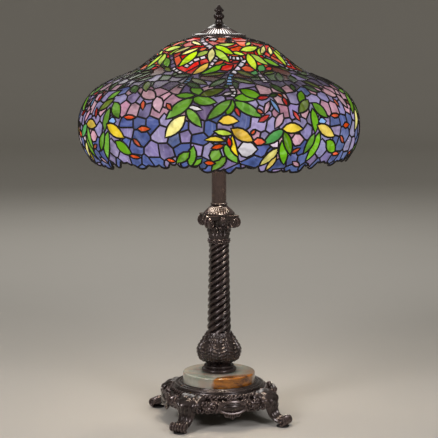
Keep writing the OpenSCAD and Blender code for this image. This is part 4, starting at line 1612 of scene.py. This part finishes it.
    def _slab(self, bronze: bpy.types.Material) -> bpy.types.Object:
        """Makes the slab on the bell, with hollow sides and cut corners."""
        angle = np.linspace(0.0, FULL_TURN, 144, endpoint=False)
        off = np.abs((angle + math.pi / 4) % (math.pi / 2) - math.pi / 4)
        bowed = self.slab_waist / np.cos(off) + 6.4 * (off / (math.pi / 4)) ** 2
        corner = self.slab_corner / np.cos(math.pi / 4 - off)
        reach = np.minimum(bowed, corner)
        rows = [(0.0, -8.0), (0.0, -2.2), (1.2, -0.6), (1.2, 0.6), (2.2, 2.2), (2.2, 3.2),
                (3.4, 3.9), (3.4, 5.4), (2.6, 6.0), (2.6, -8.0)][:9]
        base = self.capital_z + 40.0
        grid = np.array([[((r + inset - 3.4) * math.cos(a), (r + inset - 3.4) * math.sin(a),
                           base + up) for r, a in zip(reach, angle)]
                         for inset, up in rows[1:]]) * MM
        return surface_piece("slab", grid, bronze, caps=True, sharp_deg=35.0)

    def _scroll_parts(self, z: float) -> list[tuple[np.ndarray, list[tuple[int, ...]]]]:
        """Makes one corner's scroll: a wound band on each cheek and the roll between."""
        parts = []
        for side in (-1.0, 1.0):
            flat = spiral((34.0, z + 32.0), 9.2, 60.0, -1.9, 34)
            path = np.stack([flat[:, 0], np.full(len(flat), 3.9 * side), flat[:, 1]], -1)
            parts.append(tube(path, np.linspace(2.1, 1.2, len(flat)), 8))
            parts.append(blob((34.0, 4.2 * side, z + 32.0), (2.2, 2.4, 2.2)))
        roll = np.stack([np.full(5, 34.0), np.linspace(-4.2, 4.2, 5), np.full(5, z + 32.0)], -1)
        parts.append(tube(roll + (0.001, 0, 0), np.array([8.0, 8.6, 8.8, 8.6, 8.0]), 20))
        stalk = np.array([(21.0, 0, z + 22), (25.0, 0, z + 28), (29.0, 0, z + 35), (33, 0, z + 40)])
        parts.append(tube(stalk, np.array([1.4, 2.4, 3.4, 3.0]), 8))
        return parts

    def _dome(self, bronze: bpy.types.Material) -> bpy.types.Object:
        """Turns the small dome over the slab and gives it round ribs."""
        z = self.dome_z
        outline = spline(((29.6, z), (30, z + 1.6), (27.4, z + 4.6), (22.6, z + 9.4),
                          (17.4, z + 14), (15.2, z + 17)), 6)

        def ribbed(radius: np.ndarray, angle: np.ndarray, height: np.ndarray) -> np.ndarray:
            """Adds the ribs, fading at both ends."""
            rise = np.clip((height - z - 2.0) / 3.0, 0, 1) * np.clip((z + 16.0 - height) / 3.0, 0, 1)
            return radius + 1.3 * rise * (np.abs(np.cos(14.0 * angle)) ** 0.7 - 0.6)

        return surface_piece("ribbed_dome", turned_grid(outline, 224, ribbed), bronze, caps=True,
                             sharp_deg=60.0)


@dataclass
class Base:
    """The cast base: a ringed platform, its rope border and carved skirt, and four feet."""

    top: float = 70.0
    seat_radius: float = 69.3
    edge_radius: float = 90.0
    skirt_radius: float = 106.0
    skirt_low: float = 32.0
    boss_z: float = 43.5
    toe_reach: float = 152.0
    border_strands: int = 72

    def build(self, finishes: "Finishes", rings: RepeatTree) -> None:
        """Builds every piece of the base.

        Args:
            finishes: The materials.
            rings: The tree that sets copies round the axis.
        """
        bronze = finishes.bronze
        pieces = [self._platform(bronze)]
        pieces.append(rings.run("rope_border", heap([blob((0, 0, 0), (3.1, 6.2, 2.3), 6, 8)]),
                                Count=self.border_strands, Radius=90.6 * MM,
                                Height=(self.top - 10.4) * MM, Turn=0.0, Tilt=0.62,
                                Material=bronze))
        for name, parts in (("cartouches", self._cartouche()), ("skirt_scrolls", self._scrolls())):
            pieces.append(rings.run(name, heap(parts), Count=4, Radius=0.0, Height=0.0, Turn=0.0,
                                    Tilt=0.0, Material=bronze))
        mount(join("ringed_base", pieces), "stand", "bronze", "base_casting")
        feet = rings.run("scrolled_feet", self._foot(), Count=4, Radius=0.0, Height=0.0,
                         Turn=math.pi / 4, Tilt=0.0, Material=bronze)
        mount(feet, "stand", "bronze", "foot_1", "foot_2", "foot_3", "foot_4")

    def _platform(self, bronze: bpy.types.Material) -> bpy.types.Object:
        """Turns the hollow platform with its rings, and carves leaves round the skirt."""
        t, s, low = self.top, self.skirt_radius, self.skirt_low
        outside = spline(((100, low), (s - 4.4, low + 5), (s - 3.2, t - 28), (s - 5.4, t - 22.5),
                          (91.5, t - 16.4), (89.5, t - 14.6)), 8)
        border = spline(((89.5, t - 14.6), (91, t - 12.5), (89.8, t - 10), (87.4, t - 7.6),
                         (86.2, t - 5.4)), 3)
        rings = spline(((86.2, t - 5.4), (86.4, t - 2.6), (84.4, t - 0.6), (81.8, t - 1.4),
                        (81, t - 3), (79.8, t - 2.6), (78.4, t - 0.6), (76, t + 0.4),
                        (74.2, t - 1), (73.4, t - 1.4), (72.4, t + 0.4), (70.8, t + 1.2),
                        (69.4, t + 0.2), (self.seat_radius, t - 2)), 4)
        inside = ((5.2, t - 2), (5.2, t - 15), (17, t - 15), (20, t - 7), (70, t - 9),
                  (80, t - 13), (84, t - 20), (95, t - 26), (98, t - 31), (95, low))
        leaves = LeafRelief(24, low - 1, t - 15, 3.4, 3.5, spread=0.44)
        return turned("platform", (*outside[:-1], *border[:-1], *rings, *inside), 288, bronze,
                      (leaves,), closed=True)

    def _on_skirt(self, across: float, up: float, lift: float) -> tuple[float, float, float]:
        """Gives a spot on the skirt's middle line.

        Args:
            across: Distance round the skirt from the middle of a side.
            up: Height above the table.
            lift: Distance outwards.

        Returns:
            The spot in millimetres.
        """
        curve = ((28, 98), (34, 103), (42, 105), (48, 103), (54, 92), (60, 91))
        radius = float(np.interp(up, [c[0] for c in curve], [c[1] for c in curve])) + lift
        turn = across / 105.0
        return radius * math.cos(turn), radius * math.sin(turn), up

    def _laid(self, flat: np.ndarray, lift: float) -> np.ndarray:
        """Lays a flat path on the skirt."""
        return np.array([self._on_skirt(a, u, lift) for a, u in flat])

    def _cartouche(self) -> list[tuple[np.ndarray, list[tuple[int, ...]]]]:
        """Makes the framed oval boss in the middle of a side, its crest and its drop."""
        z = self.boss_z
        turn = np.linspace(0.0, FULL_TURN, 49)
        frame = np.stack([np.full(49, 108.0) - 3.0 * np.cos(turn) ** 2, 25.4 * np.cos(turn),
                          z + 11.2 * np.sin(turn)], -1)
        parts = [blob((101.5, 0, z), (8.2, 27.0, 13.0), 12, 28),
                 blob((104.5, 0, z), (7.4, 19.6, 8.4), 12, 28), tube(frame, np.full(49, 3.0), 8)]
        for side in (-1.0, 1.0):
            curl = spiral((19.0 * side, z + 9.5), 5.4, 90.0 - 60.0 * side, -1.4 * side, 20)
            path = np.stack([np.full(20, 107.4), curl[:, 0], curl[:, 1]], -1)
            parts.append(tube(path, np.linspace(2.2, 1.0, 20), 6))
            curl = spiral((11.5 * side, z - 13.5), 4.6, 90.0 + 20.0 * side, 1.4 * side, 20)
            path = np.stack([np.full(20, 104.0), curl[:, 0], curl[:, 1]], -1)
            parts.append(tube(path, np.linspace(2.0, 0.9, 20), 6))
        for k in range(-2, 3):
            parts.append(blob((102.5, 3.6 * k, z - 17.0 + 1.1 * abs(k)),
                              (4.0, 2.3, 7.0 - 1.1 * abs(k)), 6, 8))
            parts.append(blob((101.0 - abs(k), 3.8 * k, z + 15.0 - 0.9 * abs(k)),
                              (3.4, 2.4, 5.2 - 0.6 * abs(k)), 6, 8))
        return parts

    def _scrolls(self) -> list[tuple[np.ndarray, list[tuple[int, ...]]]]:
        """Makes the scrolls and leaves between the cartouche and the feet."""
        parts = []
        for side in (-1.0, 1.0):
            for across, up, radius, start, turns, thick in (
                    (36.0, 44.0, 7.6, 150.0, -1.6, 2.6), (52.0, 47.0, 6.2, 200.0, 1.5, 2.3),
                    (46.0, 36.0, 5.0, 60.0, -1.4, 2.0), (63.0, 41.0, 6.4, 140.0, -1.5, 2.3),
                    (31.0, 53.0, 4.2, -60.0, 1.4, 1.6)):
                begin = start if side > 0 else 180.0 - start
                flat = spiral((across * side, up), radius, begin, turns * side, 22)
                parts.append(tube(self._laid(flat, 1.6), np.linspace(thick, 0.8, 22), 6))
                x, y, z = self._on_skirt(across * side, up, 2.0)
                parts.append(blob((x, y, z), (2.0, 2.0, 2.0), 5, 8))
            for across, up, lean, size in ((29.0, 37.0, 0.5, 6.0), (41.0, 54.0, -0.6, 5.6),
                                           (57.0, 34.0, 0.6, 5.4), (58.0, 54.5, -0.3, 5.0),
                                           (45.0, 40.5, 1.0, 4.6)):
                flat = np.array([(side * (across + lean * k * 2.2), up - k * 2.0)
                                 for k in np.linspace(-size / 2, size / 2, 7)])
                parts.append(tube(self._laid(flat, 1.4),
                                  np.array([0.6, 1.6, 2.5, 2.9, 2.4, 1.5, 0.5]), 8))
        return parts

    def _foot(self) -> bpy.types.Mesh:
        """Makes one foot: a leafy knee, a fluted shin and a curled toe."""
        line = np.array(spline(((84, 58), (95, 57), (106, 52.5), (113.5, 45.5), (116, 37.5),
                                (117.5, 29), (121.5, 20.5), (129, 14), (138, 11.6), (144, 12)), 5))
        count = len(line)
        share = np.linspace(0.0, 1.0, count)
        half = np.interp(share, (0, 0.12, 0.3, 0.45, 0.6, 0.72, 0.85, 1.0),
                         (20, 27, 25, 20, 16.5, 15, 15, 15))
        thick = np.interp(share, (0, 0.15, 0.35, 0.6, 0.8, 1.0), (3.5, 6.0, 7.6, 6.6, 6.0, 6.4))
        way = np.gradient(line, axis=0)
        way /= np.linalg.norm(way, axis=1)[:, None]
        out = np.stack([-way[:, 1], way[:, 0]], -1)
        sides = 40
        rings = []
        for i in range(count):
            for k in range(sides):
                a = FULL_TURN * k / sides
                across = math.copysign(abs(math.cos(a)) ** 0.8, math.cos(a))
                away = math.sin(a)
                lift = thick[i] * away
                if away > 0:
                    flute = 0.5 + 0.5 * math.cos(5.0 * math.pi * across)
                    lobes = abs(math.sin(17.0 * share[i] - 4.5 * abs(across))) ** 0.6
                    leafy = min(1.0, max(0.0, (0.56 - share[i]) * 5.0))
                    lift += away ** 0.5 * (2.3 * flute * (1.0 - 0.3 * leafy) + 3.0 * leafy * lobes
                                           - 1.6)
                edge = 1.0 + 0.10 * math.sin(26.0 * share[i]) * (share[i] < 0.5)
                rings.append((line[i, 0] + out[i, 0] * lift, half[i] * across * edge,
                              line[i, 1] + out[i, 1] * lift))
        faces = [(r * sides + c, r * sides + (c + 1) % sides, (r + 1) * sides + (c + 1) % sides,
                  (r + 1) * sides + c) for r in range(count - 1) for c in range(sides)]
        faces += [tuple(range(sides - 1, -1, -1)),
                  tuple((count - 1) * sides + c for c in range(sides))]
        parts = [(np.array(rings), faces)]
        toe = (self.toe_reach - 8.6, 12.2)
        for y in (-14.4, -8.7, -2.9, 2.9, 8.7, 14.4):
            flat = spiral(toe, 7.2, -100.0, 1.5, 26)
            path = np.stack([flat[:, 0], np.full(26, y), flat[:, 1]], -1)
            parts.append(tube(path, np.linspace(2.9, 1.6, 26) * (0.85 if abs(y) > 13 else 1.0), 8))
        for side in (-1.0, 1.0):
            flat = spiral((111.0, 42.0), 8.0, 40.0, 1.7, 28)
            path = np.stack([flat[:, 0] - 2.0, np.full(28, 21.0 * side), flat[:, 1] - 2.0], -1)
            parts.append(tube(path, np.linspace(2.8, 1.1, 28), 8))
            parts.append(blob((110.0, 18.0 * side, 43.0), (7.0, 3.4, 7.0), 8, 12))
            parts.append(blob((97.0, 22.0 * side, 50.0), (7.0, 6.0, 5.0), 8, 12))
        return heap(parts)


@dataclass
class Crown:
    """The vented cap over the shade, and the finial that holds it."""

    cap_z: float = 725.2
    cap_h: float = 24.0
    finial_z: float = 749.6
    rim_radius: float = 51.4
    vent_outer: float = 37.5
    vent_inner: float = 21.5
    bars: int = 38

    def build(self, finishes: "Finishes", rings: RepeatTree) -> None:
        """Builds the cap and the finial.

        Args:
            finishes: The materials.
            rings: The tree that sets copies round the axis.
        """
        mount(self._cap(finishes.bronze, rings), "shade", "bronze", "heat_cap")
        # painted light: a self-lit liner under the cap's bars stands in for the bulbs' light through the
        # slots
        mount(self._liner(finishes.glow), "shade", "bulb")
        mount(self._finial(finishes.bronze), "finial", "bronze", "finial")

    def _cap(self, bronze: bpy.types.Material, rings: RepeatTree) -> bpy.types.Object:
        """Makes the rolled rim, the centre dome and the bars between them."""
        z, r = self.cap_z, self.rim_radius
        rim = turned("cap_rim", ((r - 1.4, z + 0.1), (r, z + 0.7), (r - 0.3, z + 2.4),
                                 (r - 1.8, z + 3.6), (r - 2.6, z + 3.4), (r - 3.4, z + 4.3),
                                 (r - 5.6, z + 5.5), (r - 6.6, z + 5.2), (r - 7.6, z + 6.0),
                                 (r - 10.4, z + 6.9), (r - 12, z + 6.6), (r - 14.2, z + 7.2),
                                 (r - 15.4, z + 7.0), (r - 15.6, z + 5.4), (r - 8, z + 4.2),
                                 (r - 3, z + 1.4)), 120, bronze, closed=True)
        dome = turned("cap_dome", ((20.2, z + 14.8), (22.6, z + 15.6), (22.4, z + 16.8),
                                   (20.6, z + 17.2), (18.6, z + 18.9), (15, z + 21.0),
                                   (11.6, z + 22.6), (10.4, z + 23.6), (8, z + 24),
                                   (5.1, z + 24), (5.1, z + 18.8), (10, z + 18.2),
                                   (16, z + 16.2)), 96, bronze, closed=True)
        beads = rings.run("cap_beads", heap([blob((0, 0, 0), (1.1, 1.6, 1.1), 5, 8)]), Count=72,
                          Radius=(r - 2.2) * MM, Height=(z + 4.0) * MM, Turn=0.0, Tilt=0.0,
                          Material=bronze)
        slope = np.array([(self.vent_outer - 0.6, 0.0, z + 6.5), (32.5, 0.0, z + 9.0),
                          (27.0, 0.0, z + 12.4), (self.vent_inner - 0.8, 0.0, z + 15.9)])
        bar = heap([tube(slope, np.array([1.45, 1.25, 1.05, 0.9]), 8, 0.9)])
        bars = rings.run("cap_bars", bar, Count=self.bars, Radius=0.0, Height=0.0, Turn=0.05,
                         Tilt=0.0, Material=bronze)
        return join("vented_cap", (rim, dome, beads, bars))

    def _liner(self, glow_finish: bpy.types.Material) -> bpy.types.Object:
        """Makes a thin liner under the bars that glows by itself: painted light standing in for the
        bulbs' light seen through the slots.
        """
        z = self.cap_z
        return turned("cap_glow_liner", ((36.6, z + 4.4), (36.9, z + 5.0), (32.1, z + 7.2),
                                    (26.5, z + 10.8), (20.9, z + 14.4), (20.6, z + 13.8),
                                    (26.2, z + 10.1), (31.9, z + 6.5)), 96, glow_finish, closed=True)

    def _finial(self, bronze: bpy.types.Material) -> bpy.types.Object:
        """Turns the finial and twists shallow flutes round its bulb and bud."""
        z = self.finial_z
        outline = spline(((9.2, z), (9.4, z + 0.8), (7.8, z + 2.6), (6.6, z + 6), (6.4, z + 8.2),
                          (8.6, z + 10.4), (9.7, z + 13.2), (9.3, z + 16.2), (6.6, z + 19.4),
                          (5.2, z + 21.4), (7.2, z + 22.6), (8.5, z + 24.2), (8.2, z + 26.2),
                          (5.6, z + 29.6), (2.8, z + 33), (1.2, z + 34.9), (0.3, z + 35.4)), 4)

        def fluted(radius: np.ndarray, angle: np.ndarray, height: np.ndarray) -> np.ndarray:
            """Cuts twisted flutes where the finial is wide."""
            wave = np.abs(np.cos(4.0 * (angle - 0.08 * (height - z)))) ** 0.7 - 0.6
            return radius + 1.1 * wave * np.clip((radius - 5.6) / 3.0, 0, 1) \
                * np.clip((height - z - 8.0) / 2.0, 0, 1)

        return surface_piece("fluted_finial", turned_grid(outline, 96, fluted), bronze, caps=True,
                             sharp_deg=60.0)


# ---------------------------------------------------------------------------
# Finishes and studio
# ---------------------------------------------------------------------------

@dataclass
class Finishes:
    """Every material of the lamp, made once."""

    bronze: bpy.types.Material = field(init=False)
    brass: bpy.types.Material = field(init=False)
    steel: bpy.types.Material = field(init=False)
    solder: bpy.types.Material = field(init=False)
    onyx: bpy.types.Material = field(init=False)
    pane: bpy.types.Material = field(init=False)
    bulb: bpy.types.Material = field(init=False)
    glow: bpy.types.Material = field(init=False)
    porcelain: bpy.types.Material = field(init=False)
    felt: bpy.types.Material = field(init=False)
    plastic: bpy.types.Material = field(init=False)
    studio: bpy.types.Material = field(init=False)

    def __post_init__(self) -> None:
        """Makes the materials."""
        self.bronze = MetalFinish(
            "dark_bronze", body=(0.025, 0.0155, 0.0145), edge=(0.11, 0.078, 0.073),
            hollow=(0.003, 0.002, 0.002), metallic=0.55, roughness=(0.22, 0.34),
            lacquer=0.5).make()
        self.brass = MetalFinish(
            "aged_brass", body=(0.42, 0.27, 0.10), edge=(0.62, 0.45, 0.2),
            hollow=(0.12, 0.07, 0.03), metallic=0.95, roughness=(0.22, 0.38)).make()
        self.steel = MetalFinish(
            "plated_steel", body=(0.42, 0.41, 0.39), edge=(0.62, 0.61, 0.6),
            hollow=(0.15, 0.14, 0.13), metallic=0.95, roughness=(0.25, 0.4)).make()
        self.solder = MetalFinish(
            "dark_solder", body=(0.004, 0.003, 0.003), edge=(0.02, 0.016, 0.015),
            hollow=(0.002, 0.0015, 0.0015), metallic=0.1, roughness=(0.5, 0.65), shine=0.2,
            grain_scale=900.0, grain_depth=0.0001, wear_scale=120.0).make()
        self.onyx = OnyxFinish("banded_onyx").make()
        self.pane = PaneFinish("streaky_glass").make()
        self.bulb = LampGlassFinish("frosted_bulb").make()
        # painted light: the glow of the cap's liner, which is no lamp
        self.glow = LampGlassFinish("painted_glow_liner", colour=(1.0, 0.93, 0.9),
                                    strength=1.5).make()
        self.porcelain = PlainFinish("white_porcelain", body=(0.72, 0.7, 0.66),
                                     other=(0.8, 0.78, 0.75), roughness=0.25).make()
        self.felt = PlainFinish("black_felt", body=(0.012, 0.012, 0.012),
                                other=(0.05, 0.048, 0.045), scale=900.0, roughness=0.95,
                                depth=0.0004).make()
        self.plastic = PlainFinish("black_bushing", body=(0.015, 0.015, 0.016),
                                   other=(0.03, 0.03, 0.03), roughness=0.45).make()
        self.studio = PlainFinish("studio_floor", body=(0.50, 0.48, 0.44),
                                  other=(0.53, 0.51, 0.47), scale=1.5, roughness=0.9,
                                  depth=0.00001).make()

    def dress(self) -> None:
        """Gives each kept CAD node its material, by the record's material slots."""
        by_slot = {"bronze": self.bronze, "brass": self.brass, "steel": self.steel,
                   "solder": self.solder, "onyx": self.onyx, "art_glass": self.pane,
                   "bulb": self.bulb, "bulb_base": self.brass, "porcelain": self.porcelain,
                   "felt": self.felt, "black_plastic": self.plastic}
        for piece in frame["nodes"].values():
            slot = piece.data.materials[0].name
            piece.data.materials.clear()
            piece.data.materials.append(by_slot[slot])


@dataclass
class Studio:
    """The floor, the soft lights, the bulbs' light and the camera."""

    azimuth_deg: float = -14.0
    distance: float = 2.828
    height: float = 0.758
    pitch_deg: float = 7.55
    lens_mm: float = 123.8
    floor_radius: float = 8.0

    def build(self, finishes: Finishes) -> None:
        """Builds the studio round the lamp.

        Args:
            finishes: The materials.
        """
        self._floor(finishes.studio)
        self._camera()
        self._soft_box("key_light", (-2.3, -1.6, 1.9), (0, 0, 0.3), 1.0, 46.0, (1.0, 0.96, 0.97))
        self._soft_box("fill_light", (1.05, -2.6, 1.8), (0, 0, 0.3), 0.9, 32.0, (1.0, 0.96, 0.98))
        self._soft_box("back_light", (0.4, 2.6, 2.2), (0, 0, 0.4), 1.8, 22.0, (1.0, 0.98, 0.95))
        world = bpy.data.worlds.new("studio_air")
        world.use_nodes = True
        ground = world.node_tree.nodes["Background"]
        ground.inputs["Color"].default_value = (0.30, 0.29, 0.265, 1.0)
        ground.inputs["Strength"].default_value = 0.8
        bpy.context.scene.world = world
        view = bpy.context.scene.view_settings
        view.view_transform = "Standard"
        view.look = "None"

    def bulbs(self, watts: float = 1.8) -> None:
        """Puts a warm light in each bulb.

        Args:
            watts: The light's power.
        """
        for i in (1, 2, 3):
            low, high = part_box(f"bulb_glass_{i}")
            data = bpy.data.lights.new(f"bulb_light_{i}", "POINT")
            data.energy = watts
            data.color = (1.0, 0.88, 0.74)
            data.shadow_soft_size = 0.03
            lamp = bpy.data.objects.new(f"bulb_light_{i}", data)
            middle = 0.5 * (low + high)
            lamp.location = middle - Vector((0, 0, 0.032))
            bpy.context.scene.collection.objects.link(lamp)

    def _floor(self, material: bpy.types.Material) -> None:
        """Lays the round floor, which sweeps up to a low wall all round."""
        reach = self.floor_radius
        sweep = [(0.0, 0.0), (0.45 * reach, 0.0), (0.8 * reach, 0.0)]
        sweep += [(reach * (0.8 + 0.2 * math.sin(a)), reach * 0.2 * (1.0 - math.cos(a)))
                  for a in np.linspace(0.1, 0.5 * math.pi, 12)]
        sweep.append((reach, 0.55 * reach))
        angle = np.linspace(0.0, FULL_TURN, 96, endpoint=False)
        grid = np.array([[(max(r, 0.001) * math.cos(a), max(r, 0.001) * math.sin(a), z)
                          for a in angle[::-1]] for r, z in sweep])
        floor = surface_piece("studio_floor", grid, material)

    def _soft_box(self, name: str, at: tuple[float, float, float],
                  to: tuple[float, float, float], size: float, watts: float,
                  colour: tuple[float, float, float]) -> None:
        """Hangs one large soft light that faces a spot."""
        data = bpy.data.lights.new(name, "AREA")
        data.shape, data.size, data.energy, data.color = "DISK", size, watts, colour
        lamp = bpy.data.objects.new(name, data)
        lamp.location = at
        lamp.rotation_euler = (Vector(to) - Vector(at)).to_track_quat("-Z", "Y").to_euler()
        bpy.context.scene.collection.objects.link(lamp)

    def _camera(self) -> None:
        """Places the camera, level from side to side and looking a little down."""
        data = bpy.data.cameras.new("main_camera")
        data.lens, data.sensor_width = self.lens_mm, 36.0
        camera = bpy.data.objects.new("main_camera", data)
        turn = math.radians(self.azimuth_deg)
        camera.location = (self.distance * math.sin(turn), -self.distance * math.cos(turn),
                           self.height)
        camera.rotation_euler = (math.radians(90.0 - self.pitch_deg), 0.0, turn)
        bpy.context.scene.collection.objects.link(camera)
        bpy.context.scene.camera = camera


def main() -> None:
    """Builds the lamp's looks in order and reports each piece."""
    finishes = Finishes()
    finishes.dress()
    LOG.info("finishes: %d materials", len(bpy.data.materials))
    rings, seam = ring_tree(), seam_tree()
    Shade().build(finishes, seam)
    Crown().build(finishes, rings)
    Stem().build(finishes, rings)
    Base().build(finishes, rings)
    studio = Studio()
    studio.build(finishes)
    studio.bulbs()
    LOG.info("studio: floor, lights and camera")


if __name__ == "__main__":
    main()
